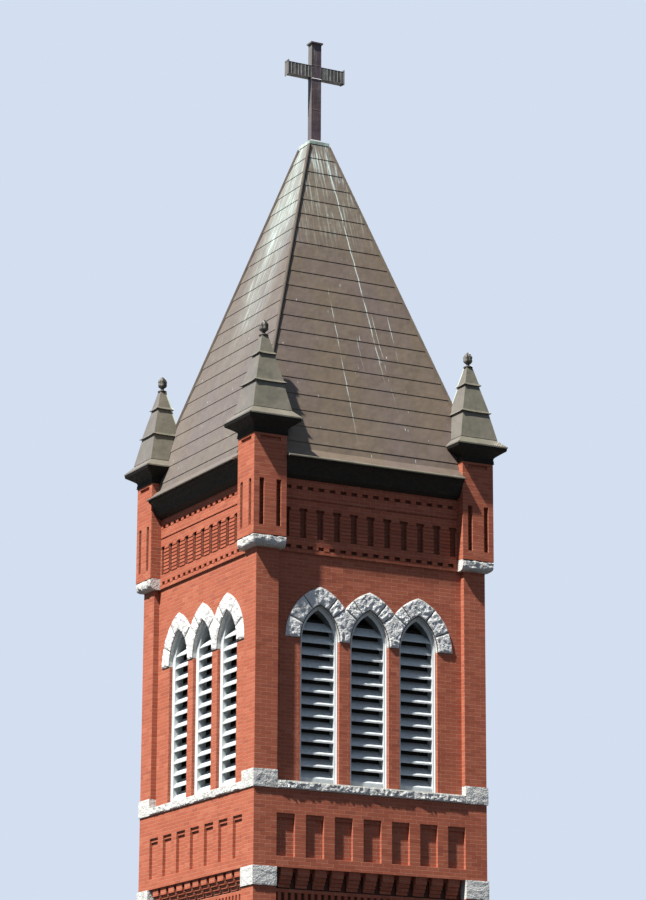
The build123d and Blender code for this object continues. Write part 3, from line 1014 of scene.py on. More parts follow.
@dataclass
class Brickwork:
    """The bricks that stand a millimetre in front of their mortar bed."""

    finish: Material
    bands: tuple[Pair, ...] = (
        (WATER_TABLE_TOP, LOW_BLOCKS[0]), (LOW_BLOCKS[1], BELT[0]), (BELT[1], FRIEZE_FOOT))
    low_head: float = 7.705
    post: float = 0.2101          # width of the brickwork between two panels
    panels: int = 7
    window_foot: float = 9.905
    arch_foot: float = 185 * COURSE
    frieze_half: float = 1.791
    header_half: float = 0.0515
    header_out: float = 0.006
    header_in: float = 0.054
    header_joint: float = 0.004
    header_courses: Row = (1, 17)
    plain_courses: tuple[Pair, ...] = ((2, 4), (12, 14), (15, 17), (18, 19.76))
    first_header: float = -1.76
    headers: int = 17
    slot: float = 0.124
    slot_head: float = 0.170
    slot_pitch: float = 1.54 * BRICK
    slots: int = 10
    slot_foot: int = 4            # the first course of the slots, and the one at their heads
    slot_top: int = 11
    rung_out: float = 0.014
    rung_joint: float = 0.012
    shaft_rows: tuple[tuple[float, float, tuple[Pair, ...]], ...] = (
        (14.137, 14.304, ((-0.32, 0.32),)),
        (14.304, 15.142, ((-0.32, -0.2144), (-0.1184, 0.1184), (0.2144, 0.32))),
        (15.142, 15.846, ((-0.32, 0.32),)),
        (15.846, 15.913, ((-0.32, -0.198), (0.198, 0.32))),
        (15.913, 16.020, ((-0.32, 0.32),)),
    )

    def wall_areas(self) -> Iterator[Row]:
        """Lists the rectangles below the frieze.

        Yields:
            The left, right, foot, head and face of each, and where its bricks start.
        """
        for foot, head in self.bands:
            for left in (-PIER_FACE, BAY):
                yield left, left + PIER, foot, head, PIER_FACE
        yield -BAY, BAY, WATER_TABLE_TOP, self.low_head, LOW_WALL
        yield -BAY, BAY, LOW_BLOCKS[1], PANELS[0], PIER_FACE
        yield -BAY, BAY, PANELS[1], BELT[0], PIER_FACE
        width = (2 * BAY - (self.panels - 1) * self.post) / self.panels
        for k in range(1, self.panels):
            left = -BAY + k * width + (k - 1) * self.post
            yield left, left + self.post, *PANELS, PIER_FACE, left
        edges = [-BAY, *(k * PITCH + hand * HALF_WINDOW for k in (-1, 0, 1) for hand in (-1, 1)),
                 BAY]
        for left, right in zip(edges[::2], edges[1::2]):
            yield left, right, self.window_foot, self.arch_foot, WINDOW_WALL

    def high_areas(self) -> Iterator[Row]:
        """Lists the rectangles of the pinnacle shafts, in the same way.

        Yields:
            The same values as the areas below the frieze.
        """
        for middle in (-PINNACLE, PINNACLE):
            for foot, head, spans in self.shaft_rows:
                for left, right in spans:
                    yield (middle + left, middle + right, foot, head, PINNACLE + SHAFT_HALF,
                           middle - 0.33)

    def behind_stone(self, x: float, z: float) -> bool:
        """Says whether a brick with this middle is hidden by the arch stones."""
        gaps = (lancet_gap(x + a * 0.1, z + b * 0.03) for a in (-1, 1) for b in (-1, 1))
        return max(gaps) < ARCH_STONE - 0.02

    def frieze(self, odd: int) -> list[Object]:
        """Lays the frieze.

        Args:
            odd: 1 for the left and right sides.

        Returns:
            Its plain courses, its headers, and the rungs between its tall slots.
        """
        foot, half, face = FRIEZE_FOOT, self.frieze_half, FRIEZE_FACE
        laid = [Field(odd, -half, half, foot + a * COURSE, foot + b * COURSE, face).lay()
                for a, b in self.plain_courses]
        loose = []
        for course in self.header_courses:
            z, x = foot + course * COURSE, self.first_header
            header = set_block("header", (x - self.header_half, -face - self.header_out,
                                          z + self.header_joint),
                               (x + self.header_half, -face + self.header_in,
                                z + COURSE - self.header_joint))
            repeat(header, self.headers, (BRICK, 0, 0))
            loose.append(header)
        for course in range(self.slot_foot, self.slot_top + 1):
            z = foot + course * COURSE
            inner = (self.slot_head if course == self.slot_top else self.slot) / 2
            rung = set_block("rung", (-5 * self.slot_pitch + inner, -face - self.rung_out,
                                      z + self.rung_joint),
                             (-4 * self.slot_pitch - inner, -face,
                              z + COURSE - self.rung_joint))
            repeat(rung, self.slots, (self.slot_pitch, 0, 0))
            loose.append(rung)
        for piece in loose:
            seed = piece.data.vertices[0].co.z * 78.2
            faces = range(len(piece.data.polygons))
            set_lots(piece, [hashed(i // 6 * 12.9898 + seed) for i in faces])
        return laid + loose

    def side(self, odd: int) -> Object:
        """Lays all bricks of one side, facing the front.

        Args:
            odd: 1 for the left and right sides.

        Returns:
            The side's bricks.
        """
        laid = [Field(odd, *area).lay() for area in self.wall_areas()]
        round_arches = Field(odd, -BAY, BAY, self.arch_foot, FRIEZE_FOOT, WINDOW_WALL)
        laid.append(round_arches.lay(self.behind_stone))
        laid += self.frieze(odd)
        laid += [Field(odd, *area).lay() for area in self.high_areas()]
        return unite(laid, "bricks")

    def build(self) -> None:
        """Lays the bricks of all four sides."""
        for odd, first, second in ((0, Side.FRONT, Side.BACK), (1, Side.RIGHT, Side.LEFT)):
            master = self.side(odd)
            other = twin(master, f"brick_courses_{second.name.lower()}", turned(second))
            master.data.transform(turned(first))
            master.name = f"brick_courses_{first.name.lower()}"
            settle(master, self.finish, "red_brick")
            settle(other, self.finish, "red_brick")


@dataclass(frozen=True)
class RockFace:
    """The rough face that is left when a granite block is pitched along its edges."""

    swell: float
    lump: float
    size: float
    margin: float

    def lift(self, place: Vector, s: float, t: float, seed: float) -> float:
        """Works out how far a point stands in front of the block's edges.

        Args:
            place: The point.
            s: Its share of the way across the face.
            t: Its share of the way up the face.
            seed: Tells one stone from another.

        Returns:
            The distance in metres.
        """
        edge = min(s, 1.0 - s, t, 1.0 - t) / self.margin
        rise = 1.0 - (1.0 - min(edge, 1.0)) ** 2
        spot = place * self.size + Vector((seed * 3.1, seed * 1.7, -seed))
        near = noise.voronoi(spot)[0]
        lumps = 0.55 * noise.noise(spot) + 0.3 * noise.noise(spot * 2.6)
        lumps += 0.5 * (near[1] - near[0]) - 0.1
        ragged = 0.25 * self.lump * noise.noise(spot * 1.7 + Vector((5.0, 1.0, 2.0)))
        return rise * (self.swell + self.lump * lumps) + ragged * (1.0 - rise)


def rounded(radius: float, depth: float) -> float:
    """Works out how far a rounded edge lies behind a square one, at a depth past its corner."""
    past = max(0.0, radius - depth)
    return radius - math.sqrt(max(0.0, radius ** 2 - past ** 2))


@dataclass
class StoneYard:
    """Pitches granite stones for a wall that faces the front."""

    rock: RockFace
    laid: list[Object] = field(default_factory=list)
    back: float = 0.004           # how far a stone reaches behind its bed
    seeds: Pair = (1.37, 2.11)

    def pitch(self, outline: Outline, bed: float, cuts: tuple[int, int],
              proud: float = 0.006) -> None:
        """Pitches one stone that stands on a bed.

        Args:
            outline: Gives the place on the wall for a share across and a share up.
            bed: How far the bed lies in front of the middle of the tower.
            cuts: Faces across and up.
            proud: How far the stone's edges stand in front of the bed.
        """
        seed = self.seeds[0] * (len(self.laid) + 1)
        stone = set_grid("stone", *cuts)
        with editing(stone, "SELECT"):
            draw_up(-1)
        turn_out(stone)
        with editing(stone):
            choose_facing(stone, 0, 0, -1)
            bpy.ops.mesh.delete(type="FACE")
        for vert in stone.data.vertices:
            s, t, depth = vert.co
            x, z = outline(s, t)
            out = -self.back
            if depth > -0.5:
                out = proud + self.rock.lift(Vector((x, seed, z)), s, t, seed)
            vert.co = (x, -bed - out, z)
        turn_out(stone)
        self.laid.append(stone)

    def corner(self, low: Sequence[float], high: Sequence[float], rounding: float,
               cuts: int) -> None:
        """Pitches a block at the front right corner, rough on both outer faces.

        Args:
            low: The block's lowest corner.
            high: Its highest corner.
            rounding: Radius of its lower outer edges, for a cushion.
            cuts: How often each edge is divided.
        """
        seed = self.seeds[1] * (len(self.laid) + 1)
        block = set_block("corner_stone", low, high)
        with editing(block, "SELECT"):
            bpy.ops.mesh.subdivide(number_cuts=cuts)
        for vert in block.data.vertices:
            spot = vert.co.copy()
            x = (spot.x - low[0]) / (high[0] - low[0])
            y = (high[1] - spot.y) / (high[1] - low[1])
            z = (spot.z - low[2]) / (high[2] - low[2])
            turn_in = rounded(rounding, spot.z - low[2])
            turn_in += rounded(0.3 * rounding, high[2] - spot.z)
            rough = self.rock.lift(spot, y, z, seed) if x > OUTERMOST else 0.0
            vert.co.x += x * (rough - turn_in)
            rough = self.rock.lift(spot, x, z, seed + 4.0) if y > OUTERMOST else 0.0
            vert.co.y -= y * (rough - turn_in)
        self.laid.append(block)

    def close(self, name: str) -> Object:
        """Joins the stones and sets them on all four sides."""
        return four_sides(unite(self.laid, name), name)


@dataclass
class Masonry:
    """The granite of the tower: blocks, sills, arch stones and cushions."""

    finish: Material
    arch_finish: Material
    valley: float = math.acos((PITCH / 2 + ARC_CENTRE) / (ARC_RADIUS + ARCH_STONE))
    low_joint: float = math.radians(23)
    high_joint: float = math.radians(50)
    gap: float = 0.016
    sill_edges: Row = (-BAY, -1.02, -0.06, 0.83, BAY)
    sill_foot: float = 9.743
    sill_height: float = 0.131
    sill_joint: float = 0.012
    sill_face: float = 0.021      # how wide one face of a sill's grid is
    sill_proud: float = 0.002
    arch_bed: float = WINDOW_WALL + 0.012
    cushion_rounding: float = 0.112
    arch_rock: RockFace = RockFace(swell=0.016, lump=0.024, size=17.0, margin=0.11)
    sill_rock: RockFace = RockFace(swell=0.013, lump=0.028, size=17.0, margin=0.18)
    block_rock: RockFace = RockFace(swell=0.003, lump=0.014, size=12.0, margin=0.07)
    cushion_rock: RockFace = RockFace(swell=0.006, lump=0.042, size=9.0, margin=0.1)

    def ring(self, middle: float, hand: int, angle: float, out: float) -> Pair:
        """Finds a place on an arch ring, some way outside an opening."""
        across, height = arc_place(hand, angle, -out)
        return middle + across, height

    def voussoir(self, middle: float, hand: int, first: float, last: float, s: float,
                 t: float) -> Pair:
        """Finds a place on an arch stone between two angles.

        Args:
            middle: The middle of the lancet.
            hand: 1 for the right arc, -1 for the left.
            first: The angle where the stone begins.
            last: The angle where it ends.
            s: The share of the way along the arc.
            t: The share of the way outwards.

        Returns:
            The place along the wall and the height.
        """
        out = self.gap + t * (ARCH_STONE - self.gap)
        slack = 0.5 * self.gap / (ARC_RADIUS + out)
        angle = first + slack + s * (last - first - 2 * slack)
        return self.ring(middle, hand, angle, out)

    def keystone(self, middle: float, s: float, t: float) -> Pair:
        """Finds a place on the pointed stone at the head of an arch.

        Args:
            middle: The middle of the lancet.
            s: The share of the way across the stone.
            t: The share of the way outwards.

        Returns:
            The place along the wall and the height.
        """
        out = self.gap + t * (ARCH_STONE - self.gap)
        top = math.acos(ARC_CENTRE / (ARC_RADIUS + out))
        fall = top - self.high_joint - 0.5 * self.gap / ARC_RADIUS
        return self.ring(middle, 1 if s > 0.5 else -1, top - abs(2 * s - 1) * fall, out)

    def shared(self, middle: float, s: float, t: float) -> Pair:
        """Finds a place on the stone that two arches spring from, right of a lancet.

        Args:
            middle: The middle of the lancet.
            s: The share of the way across the stone.
            t: The share of the way up.

        Returns:
            The place along the wall and the height.
        """
        angle = t * (self.valley - 0.5 * self.gap / ARC_RADIUS)
        left = self.ring(middle, 1, angle, self.gap)
        right = self.ring(middle + PITCH, -1, angle, self.gap)
        peak = self.ring(middle, 1, self.valley, ARCH_STONE)[1] - left[1]
        lift = t ** 3 * peak * (1 - abs(2 * s - 1))
        return left[0] + s * (right[0] - left[0]), left[1] + lift

    def arch_stones(self) -> Object:
        """Pitches the arch stones of all four sides.

        Returns:
            The finished piece.
        """
        yard = StoneYard(self.arch_rock)
        bed = self.arch_bed
        for middle in (-PITCH, 0.0, PITCH):
            yard.pitch(partial(self.keystone, middle), bed, (22, 15))
            for hand in (-1, 1):
                outer = middle == hand * PITCH
                start = self.low_joint if outer else self.valley
                stone = partial(self.voussoir, middle, hand)
                yard.pitch(partial(stone, start, self.high_joint), bed, (18, 15))
                if outer:
                    yard.pitch(partial(stone, 0.0, self.low_joint), bed, (13, 15))
            if middle < PITCH:
                yard.pitch(partial(self.shared, middle), bed, (14, 20))
        return yard.close("arch_stones")

    def sills(self) -> Object:
        """Pitches the faces of the sill stones of all four sides.

        Returns:
            The finished piece.
        """
        yard = StoneYard(self.sill_rock)
        for left, right in zip(self.sill_edges, self.sill_edges[1:]):
            start, width = left + self.sill_joint / 2, right - left - self.sill_joint
            yard.pitch(lambda s, t: (start + s * width, self.sill_foot + t * self.sill_height),
                       PIER_FACE + STONE_FACE, (round((right - left) / self.sill_face), 8),
                       self.sill_proud)
        return yard.close("sill_faces")

    def blocks(self, name: str, foot: float, head: float) -> Object:
        """Pitches the four corner blocks of one course.

        Args:
            name: The piece's name.
            foot: Where the blocks begin.
            head: Where they end.

        Returns:
            The finished piece.
        """
        yard = StoneYard(self.block_rock)
        outer = PIER_FACE + STONE_FACE
        yard.corner((BAY, -outer, foot), (outer, -BAY, head), 0.0, 13)
        return yard.close(name)

    def cushions(self) -> Object:
        """Pitches the rounded stones that carry the pinnacle shafts.

        Returns:
            The finished piece.
        """
        yard = StoneYard(self.cushion_rock)
        inner, outer = PINNACLE - SHAFT_HALF, PINNACLE + SHAFT_HALF
        head = FRIEZE_FOOT + 3 * COURSE
        yard.corner((inner, -outer, FRIEZE_FOOT), (outer, -inner, head), self.cushion_rounding, 14)
        return yard.close("cushion_stones")

    def build(self) -> None:
        """Builds all the granite pieces."""
        settle(self.arch_stones(), self.arch_finish, "granite", smooth=24)
        settle(self.sills(), self.finish, "granite", smooth=24)
        for name, heights, node in (("belt_blocks", BELT, "belt_granite_blocks"),
                                    ("low_blocks", LOW_BLOCKS, "lower_granite_blocks")):
            settle(self.blocks(name, *heights), self.finish, "granite", node, smooth=24)
        settle(self.cushions(), self.finish, "granite", "corbel_stones", smooth=26)


@dataclass
class DentilBricks:
    """The bricks on end in the sunk strip under the corbel table."""

    finish: Material
    count: int = 29
    foot: float = 7.764
    head: float = 7.981
    width: float = 0.066
    front: float = LOW_WALL + 0.047
    back: float = LOW_WALL + 0.009

    def stand(self, left: float, width: float) -> Object:
        """Sets one brick on end."""
        return set_block("brick_on_end", (left, -self.front, self.foot),
                         (left + width, -self.back, self.head))

    def build(self) -> None:
        """Sets the bricks of all four sides on end."""
        pitch, half = 2 * BAY / self.count, self.width / 2
        brick = self.stand(-BAY + pitch - half, self.width)
        with editing(brick):
            choose_facing(brick, 0, -1, 0)
            bpy.ops.mesh.inset(thickness=0.004, depth=0.003)
        repeat(brick, self.count - 1, (pitch, 0, 0))
        row = unite([brick, self.stand(-BAY, half), self.stand(BAY - half, half)], "bricks_on_end")
        set_lots(row, [hashed(round(face.center.x / pitch) * 12.99, 43758.5)
                       for face in row.data.polygons])
        settle(four_sides(row, "bricks_on_end"), self.finish, "red_brick")


@dataclass
class LouvreTrim:
    """The moulded edge of the louvre frames."""

    finish: Material
    steps: int = 14
    straight: float = 2.515
    face: float = WINDOW_WALL - 0.080
    section: tuple[Pair, ...] = (   # inside the edge, and in front of the face
        (0.000, 0.000), (0.000, 0.016), (0.012, 0.024), (0.024, 0.020),
        (0.030, 0.008), (0.052, 0.008), (0.060, 0.002), (0.062, -0.020))

    def line(self, share: float, inward: float) -> Pair:
        """Finds a place on a line inside the lancet's edge.

        Args:
            share: The share of the way from the left foot round to the right foot.
            inward: How far the line lies inside the edge.

        Returns:
            The place along the wall and the height.
        """
        reach = ARC_RADIUS - inward
        arc = reach * math.acos(ARC_CENTRE / reach)
        along = (1 - abs(2 * share - 1)) * (self.straight + arc) - self.straight
        hand = -1 if share < 0.5 else 1
        if along < 0:
            return hand * (HALF_WINDOW - inward), SPRINGING + along
        return arc_place(hand, along / reach, inward)

    def build(self) -> None:
        """Runs the moulding round all twelve lancets."""
        foot = self.straight / (self.straight + ARC_RADIUS * 1.1)
        shares = [0.0]
        shares += [0.5 * (foot + (1 - foot) * k / self.steps) for k in range(self.steps + 1)]
        shares += [1 - share for share in reversed(shares[:-1])]
        last = len(shares) - 1, len(self.section) - 1
        one = set_grid("louvre_moulding", *last)
        for vert in one.data.vertices:
            inward, out = self.section[round(vert.co.y * last[1])]
            x, z = self.line(shares[round(vert.co.x * last[0])], inward)
            vert.co = (x, -self.face - out, z)
        turn_out(one)
        one.data.transform(Matrix.Translation((-PITCH, 0, 0)))
        others = [twin(one, "louvre_moulding", Matrix.Translation((k * PITCH, 0, 0)))
                  for k in (1, 2)]
        front = unite([one, *others], "louvre_mouldings")
        settle(four_sides(front, "louvre_mouldings"), self.finish, "louvre_paint", smooth=35)


@dataclass
class SlatShadeBlocks:
    """Near-black blocks on the inner edge of each louvre slat: painted shade that keeps the gaps
    between the slats dark.
    """

    finish: Material
    first: float = 10.163
    pitch: float = 0.2184
    count: int = 13
    height: float = 0.044
    inner: float = 1.927
    outer: float = 1.943
    frame: float = 0.03
    below: float = 0.012

    def half_width(self, level: float) -> float:
        """Works out half the clear width of a louvre frame at a height.

        Args:
            level: The height.

        Returns:
            The half width, or zero above the frame.
        """
        if level <= SPRINGING:
            return HALF_WINDOW - self.frame
        rise = min(level - SPRINGING, ARC_RADIUS - self.frame - 0.01)
        return max(0.0, math.sqrt((ARC_RADIUS - self.frame) ** 2 - rise ** 2) - ARC_CENTRE)

    def build(self) -> None:
        """Sets the blocks of all four sides."""
        shade_blocks = []
        for k in range(self.count):
            level = self.first + k * self.pitch
            half = self.half_width(level + self.height)
            if half > self.frame:
                low = (-half - PITCH, -self.outer, level - self.below)
                high = (half - PITCH, -self.inner, level + self.height)
                shade_blocks.append(set_block("slat_stop", low, high))
        row = unite(shade_blocks, "slat_shade_blocks")
        with editing(row, "SELECT"):
            bpy.ops.mesh.bevel(offset=0.003, segments=1, affect="EDGES")
        repeat(row, 3, (PITCH, 0, 0))
        settle(four_sides(row, "slat_shade_blocks"), self.finish, "louvre_paint")


@dataclass
class PinnacleDrips:
    """The turned-out lower edges of the sheet tiers on the pinnacle roofs."""

    finish: Material
    laps: tuple[Pair, ...] = ((16.930, 0.282), (17.474, 0.152))
    flare: float = 0.026
    below: float = 0.012
    height: float = 0.030
    slope: float = 0.22
    curl: float = 0.010
    spread: float = 0.03
    clearance: float = 0.004

    def drip(self, level: float, half: float) -> Object:
        """Folds one square drip edge that flares downwards, its corners curled up a little.

        Args:
            level: The height of the tier's lower edge.
            half: Half the width of the tier there.

        Returns:
            The drip edge.
        """
        out, back = half + self.flare, half - self.slope * self.height
        edge = set_block("drip", (-out, -out, level - self.below), (out, out, level + self.height))
        with editing(edge):
            choose_facing(edge, 0, 0, 1)
            ratio = (back + self.clearance) / out
            scale(ratio, ratio, 0, 0, level)
            choose_facing(edge, 0, 0, -1)
            bpy.ops.mesh.inset(thickness=0.008, depth=-0.006)
            bpy.ops.mesh.select_all(action="SELECT")
            bpy.ops.mesh.subdivide(number_cuts=4)
        for vert in edge.data.vertices:
            across = min(abs(vert.co.x), abs(vert.co.y)) / out
            rise = (vert.co.z - level + self.below) / (self.height + self.below)
            low = max(0.0, 1 - rise)
            vert.co.z += self.curl * low * across ** 3
            vert.co.xy *= 1 + self.spread * low * across ** 4
        return edge

    def build(self) -> None:
        """Folds the drip edges of all four pinnacles."""
        edges = unite([self.drip(level, half) for level, half in self.laps], "pinnacle_drips")
        settle(four_corners(edges, "pinnacle_drips"), self.finish, "pinnacle_metal")


@dataclass
class NeckBands:
    """The black boards under the small cornices, with a bead along their lower edges."""

    finish: Material
    foot: float = 15.956
    head: float = 16.026
    board: float = 0.014
    bead: float = 0.024
    bead_foot: float = 0.010
    bead_head: float = 0.024
    clearance: float = 0.004

    def build(self) -> None:
        """Cuts one ring of boards and sets four."""
        out = SHAFT_HALF + self.bead
        ring = set_block("neck_bands", (-out, -out, self.foot), (out, out, self.head))
        with editing(ring):
            cut((0, 0, self.foot + self.bead_foot), (0, 0, 1))
            cut((0, 0, self.foot + self.bead_head), (0, 0, 1))
            choose_facing(ring, 0, 0, -1)
            inner = (SHAFT_HALF + self.clearance) / out
            scale(inner, inner, 0, 0, self.foot)
        for vert in ring.data.vertices:
            if vert.co.z > self.foot + (self.bead_foot + self.bead_head) / 2:
                vert.co.xy *= (SHAFT_HALF + self.board) / out
        settle(four_corners(ring, "neck_bands"), self.finish, "brown_cornice_metal")


@dataclass
class EaveDrip:
    """The folded edge that finishes the spire's flared foot between the pinnacle shafts."""

    finish: Material
    half: float = 1.790
    outer: float = 2.548
    inner: float = 2.470
    foot: float = 15.586
    head: float = 15.648
    lip: float = 0.45             # the share of its height that the outer edge keeps

    def build(self) -> None:
        """Folds the edge of one side and sets four."""
        edge = set_block("eave_drips", (-self.half, -self.outer, self.foot),
                         (self.half, -self.inner, self.head))
        with editing(edge):
            choose_facing(edge, 0, -1, 0)
            bpy.ops.transform.resize(value=(1, 1, self.lip),
                                     center_override=(0, -self.outer, self.foot))
            bpy.ops.mesh.bevel(offset=0.008, segments=2, affect="EDGES")
            choose_facing(edge, 0, 0, -1)
            bpy.ops.mesh.inset(thickness=0.012, depth=-0.006)
        settle(four_sides(edge, "eave_drips"), self.finish, "weathered_copper")


@dataclass
class Finials:
    """The bud that ends each pinnacle, with lobes that wind round it."""

    finish: Material
    foot: float = 17.820
    sides: int = 24
    lobes: int = 5
    lobe_depth: float = 0.42
    lobe_foot: float = 0.095
    lobe_height: float = 0.214
    twist: float = 3.4
    profile: tuple[Pair, ...] = (
        (0.060, 0.0), (0.084, 0.010), (0.088, 0.024), (0.080, 0.034), (0.044, 0.044),
        (0.033, 0.062), (0.033, 0.084), (0.058, 0.098), (0.080, 0.118), (0.090, 0.146),
        (0.082, 0.166), (0.088, 0.188), (0.088, 0.214), (0.078, 0.240), (0.062, 0.262),
        (0.046, 0.280), (0.026, 0.298), (0.008, 0.310),
    )

    def build(self) -> None:
        """Draws one bud up ring by ring and sets four."""
        bpy.ops.mesh.primitive_circle_add(vertices=self.sides, radius=self.profile[0][0],
                                          fill_type="NGON", location=(0, 0, self.foot))
        bud = newest("bud")
        with editing(bud, "SELECT"):
            for (width, height), (last_width, last) in zip(self.profile[1:], self.profile):
                draw_up(height - last)
                scale(width / last_width, width / last_width, 0, 0, self.foot + height)
        turn_out(bud)
        for vert in bud.data.vertices:
            share = (vert.co.z - self.foot - self.lobe_foot) / self.lobe_height
            if 0 < share < 1:
                turn = self.lobes * math.atan2(vert.co.y, vert.co.x)
                wave = 0.5 + 0.5 * math.cos(turn + self.twist * (share + self.lobe_foot
                                                                 / self.lobe_height))
                vert.co.xy *= 1.0 - self.lobe_depth * math.sin(share * math.pi) * wave ** 2
        settle(four_corners(bud, "bud_finials"), self.finish, "pinnacle_metal",
               "pinnacle_finials", smooth=50)


@dataclass
class SheetCross:
    """The cross on the spire: a post and an arm clad in folded sheet."""

    finish: Material
    arm_finish: Material
    strap_finish: Material
    foot: float = 22.520
    top: float = 24.580
    half_width: float = 0.1025
    half_depth: float = 0.075
    arm_half: float = 0.606
    arm_foot: float = 23.830
    arm_top: float = 24.070
    lid_foot: float = 24.530
    lid_grow: Pair = (0.026, 0.024)
    lid_rise: float = 0.022
    lid_taper: Pair = (0.35, 0.2)
    post_seams: Pair = (0.03, 0.66)
    lap: float = 0.012
    tuck: float = 0.002           # how far the arm reaches into the post
    plate: float = 0.014
    plate_edge: Pair = (0.006, 0.008)
    corner_up: float = 0.026
    corner_down: float = 0.020
    seams: Row = (0.13, 0.27, 0.42, 0.56, 0.71, 0.86)

    def sleeve(self, name: str, grow: Pair, foot: float, head: float) -> Object:
        """Puts a block round the post, wider than it by some way on each axis."""
        x, y = self.half_width + grow[0], self.half_depth + grow[1]
        return set_block(name, (-x, -y, foot), (x, y, head))

    def post(self) -> Object:
        """Folds the post's cladding, with a sunk face on every side.

        Returns:
            The folded part.
        """
        post = self.sleeve("post", (0, 0), self.foot, self.lid_foot)
        with editing(post):
            for level in (*(self.foot + seam for seam in self.post_seams),
                          self.arm_foot - self.lap, self.arm_top + self.lap):
                cut((0, 0, level), (0, 0, 1))
            choose(post, lambda face: abs(face.normal.z) < 0.5 and face.calc_area() > 0.02)
            bpy.ops.mesh.inset(thickness=0.014, depth=-0.003, use_individual=True)
        return post

    def arm(self) -> Object:
        """Folds the right arm from trays with standing seams between them.

        Returns:
            The folded part.
        """
        arm = set_block("arm", (self.half_width - self.tuck, -self.half_depth, self.arm_foot),
                        (self.arm_half - self.lap, self.half_depth, self.arm_top))
        with editing(arm):
            for share in self.seams:
                cut((self.half_width + share * (self.arm_half - self.half_width), 0, 0), (1, 0, 0))
            choose(arm, lambda face: abs(face.normal.y) > 0.5)
            bpy.ops.mesh.inset(thickness=0.005, depth=-0.005, use_individual=True)
        return arm

    def end_plate(self) -> Object:
        """Folds the plate on the end of the right arm, its corners turned out.

        Returns:
            The folded part.
        """
        side, end = self.plate_edge
        plate = set_block("end_plate", (self.arm_half - self.plate, -self.half_depth - side,
                                        self.arm_foot - end),
                          (self.arm_half, self.half_depth + side, self.arm_top + end))
        with editing(plate) as mesh:
            choose_facing(plate, 1, 0, 0)
            bpy.ops.mesh.inset(thickness=0.014, depth=-0.010)
            for vert in mesh.verts:
                corner = abs(vert.co.y) > self.half_depth + side / 2
                if corner and vert.co.z > self.arm_top:
                    vert.co.z += self.corner_up
                elif corner and vert.co.z < self.arm_foot and vert.co.y < 0:
                    vert.co.z -= self.corner_down
        return plate

    def lid(self) -> Object:
        """Folds the lid, with its dripping edge and low hipped top.

        Returns:
            The folded part.
        """
        lid = self.sleeve("lid", self.lid_grow, self.lid_foot, self.top - self.lid_rise)
        with editing(lid):
            choose_facing(lid, 0, 0, 1)
            draw_up(self.lid_rise)
            scale(*self.lid_taper, 0, 0, self.top)
            choose_facing(lid, 0, 0, -1)
            bpy.ops.mesh.inset(thickness=0.010, depth=-0.008)
        return lid

    def band(self, foot: float, grow: float, height: float) -> Object:
        """Folds a band round the post, with a sloping top.

        Args:
            foot: Where the band begins.
            grow: How far it stands out from the post.
            height: Its height.

        Returns:
            The folded part.
        """
        band = self.sleeve("band", (grow, grow), foot, foot + height)
        with editing(band):
            choose_facing(band, 0, 0, 1)
            scale(self.half_width / (self.half_width + grow),
                  self.half_depth / (self.half_depth + grow), 0, 0, foot + height)
        return band

    def build(self) -> None:
        """Puts the cross together."""
        half_turn = Matrix.Rotation(math.pi, 4, "Z")
        arm, plate = self.arm(), self.end_plate()
        arms = unite([arm, twin(arm, "arm", half_turn)], "cross_arms")
        plates = [plate, twin(plate, "end_plate", half_turn)]
        post = unite([self.post(), self.lid(), *plates], "cross_post")
        straps = [self.band(self.foot, grow=0.012, height=0.05),
                  self.band(self.arm_foot - 0.020, grow=0.007, height=0.014)]
        for piece, finish in ((post, self.finish), (arms, self.arm_finish),
                              (unite(straps, "cross_straps"), self.strap_finish)):
            settle(piece, finish, "cross_metal", "cross")


def aim_at(bearing: float, height: float) -> Vector:
    """Gives the way to a bearing from the back of the tower and a height, both in degrees.

    Args:
        bearing: The angle round the tower.
        height: The angle above the horizon.

    Returns:
        The way, one metre long.
    """
    turn, rise = math.radians(bearing), math.radians(height)
    return Vector((math.sin(turn) * math.cos(rise), math.cos(turn) * math.cos(rise),
                   math.sin(rise)))


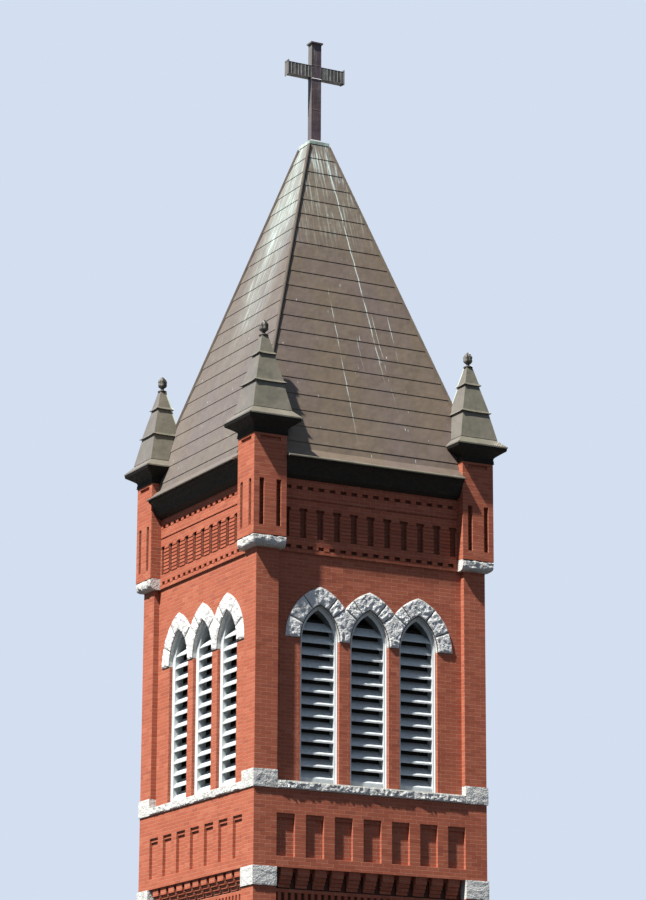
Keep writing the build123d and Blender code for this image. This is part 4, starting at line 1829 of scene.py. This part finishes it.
@dataclass
class Studio:
    """The floor, the light and the camera."""

    eye: tuple[float, float, float] = (-26.35, -49.95, 1.6)
    yaw: float = 28.01
    pitch: float = 14.77
    roll: float = 0.28
    lens: float = 125.88
    sensor: float = 36.0
    sight: float = 1500.0
    lamp_height: float = 60.0
    floor_size: float = 800.0
    floor_paint: str = "7b7a76"
    backdrop: str = "d3dff0"
    low_sky: Row = (0.10, 0.10, 0.10, 1.0)
    high_sky: Row = (0.26, 0.33, 0.44, 1.0)
    haze: float = 0.3

    def lay_floor(self) -> None:
        """Lays a plain pale floor."""
        bpy.ops.mesh.primitive_plane_add(size=self.floor_size)
        floor = bpy.context.object
        floor.name = "studio_floor"
        floor.data.materials.append(Wiring("studio_floor_paint", self.floor_paint).done(0.9))
        floor.visible_diffuse = False

    def lamp(self, name: str, towards: Vector, strength: float, softness: float,
             colour: Sequence[float]) -> None:
        """Hangs one distant lamp.

        Args:
            name: The lamp's name.
            towards: The way to it.
            strength: Its strength.
            softness: The angle that it fills, in degrees.
            colour: Its colour.
        """
        bpy.ops.object.light_add(type="SUN", location=(0, 0, self.lamp_height))
        lamp = bpy.context.object
        lamp.name = name
        lamp.data.energy = strength
        lamp.data.angle = math.radians(softness)
        lamp.data.color = colour
        lamp.rotation_mode = "QUATERNION"
        lamp.rotation_quaternion = towards.to_track_quat("Z", "Y")

    def hang_backdrop(self) -> None:
        """Hangs a pale backdrop that shines softly, more from above than from below."""
        world = bpy.data.worlds.new("studio_backdrop")
        world.use_nodes = True
        bpy.context.scene.world = world
        graph = Graph(world.node_tree)
        height = graph.split(graph.add("TexCoord", "Generated"))[2]
        rise = graph.add("MapRange", 0, {0: height, 1: -self.haze, 2: self.haze})
        sky = graph.blend(rise, self.low_sky, self.high_sky)
        light, seen = (graph.add("Background", 0, {0: colour})
                       for colour in (sky, paint(self.backdrop)))
        either = graph.add("MixShader", 0, {0: graph.add("LightPath", "Is Camera Ray"),
                                            1: light, 2: seen})
        graph.feed(graph.tree.nodes["World Output"], {0: either})

    def place_camera(self) -> None:
        """Places the camera where the photograph was taken."""
        yaw, roll = math.radians(self.yaw), math.radians(self.roll)
        ahead = aim_at(self.yaw, self.pitch)
        level = Vector((math.cos(yaw), -math.sin(yaw), 0.0))
        upright = level.cross(ahead)
        right = level * math.cos(roll) + upright * math.sin(roll)
        up = upright * math.cos(roll) - level * math.sin(roll)
        bpy.ops.object.camera_add(location=self.eye)
        camera = bpy.context.object
        camera.name = "photograph_view"
        turn = Matrix((right, up, -ahead)).transposed().to_4x4()
        camera.matrix_world = Matrix.Translation(self.eye) @ turn
        camera.data.lens = self.lens
        camera.data.sensor_width = self.sensor
        camera.data.clip_end = self.sight
        bpy.context.scene.camera = camera

    def set_up(self) -> None:
        """Makes the floor, the lamps, the backdrop and the camera."""
        self.lay_floor()
        self.lamp("key_light", aim_at(bearing=254.5, height=55.0), strength=11.0,
                  softness=1.5, colour=(1.0, 0.96, 0.90))
        self.lamp("fill_light", aim_at(bearing=50.0, height=35.0), strength=1.6,
                  softness=20.0, colour=(0.95, 0.97, 1.0))
        self.hang_backdrop()
        self.place_camera()
        bpy.context.scene.view_settings.view_transform = "Standard"


def main() -> None:
    """Builds the tower's visible pieces in order and reports each one."""
    logging.basicConfig(level=logging.INFO, format="%(name)s: %(message)s")
    bpy.ops.object.select_all(action="DESELECT")
    Studio().set_up()
    finishes = {name: finish.make() for name, finish in FINISHES.items()}
    CadDressing(finishes).dress()
    for builder, *names in (
            (Brickwork, "brick_face"), (DentilBricks, "brick_face"),
            (Masonry, "granite", "lightened_arch_granite"), (LouvreTrim, "trim_paint"),
            (SlatShadeBlocks, "stop"), (PinnacleDrips, "pinnacle"), (NeckBands, "black"),
            (EaveDrip, "pinnacle"), (Finials, "bud"), (SheetCross, "cross", "arm", "strap")):
        builder(*(finishes[name] for name in names)).build()


if __name__ == "__main__":
    main()
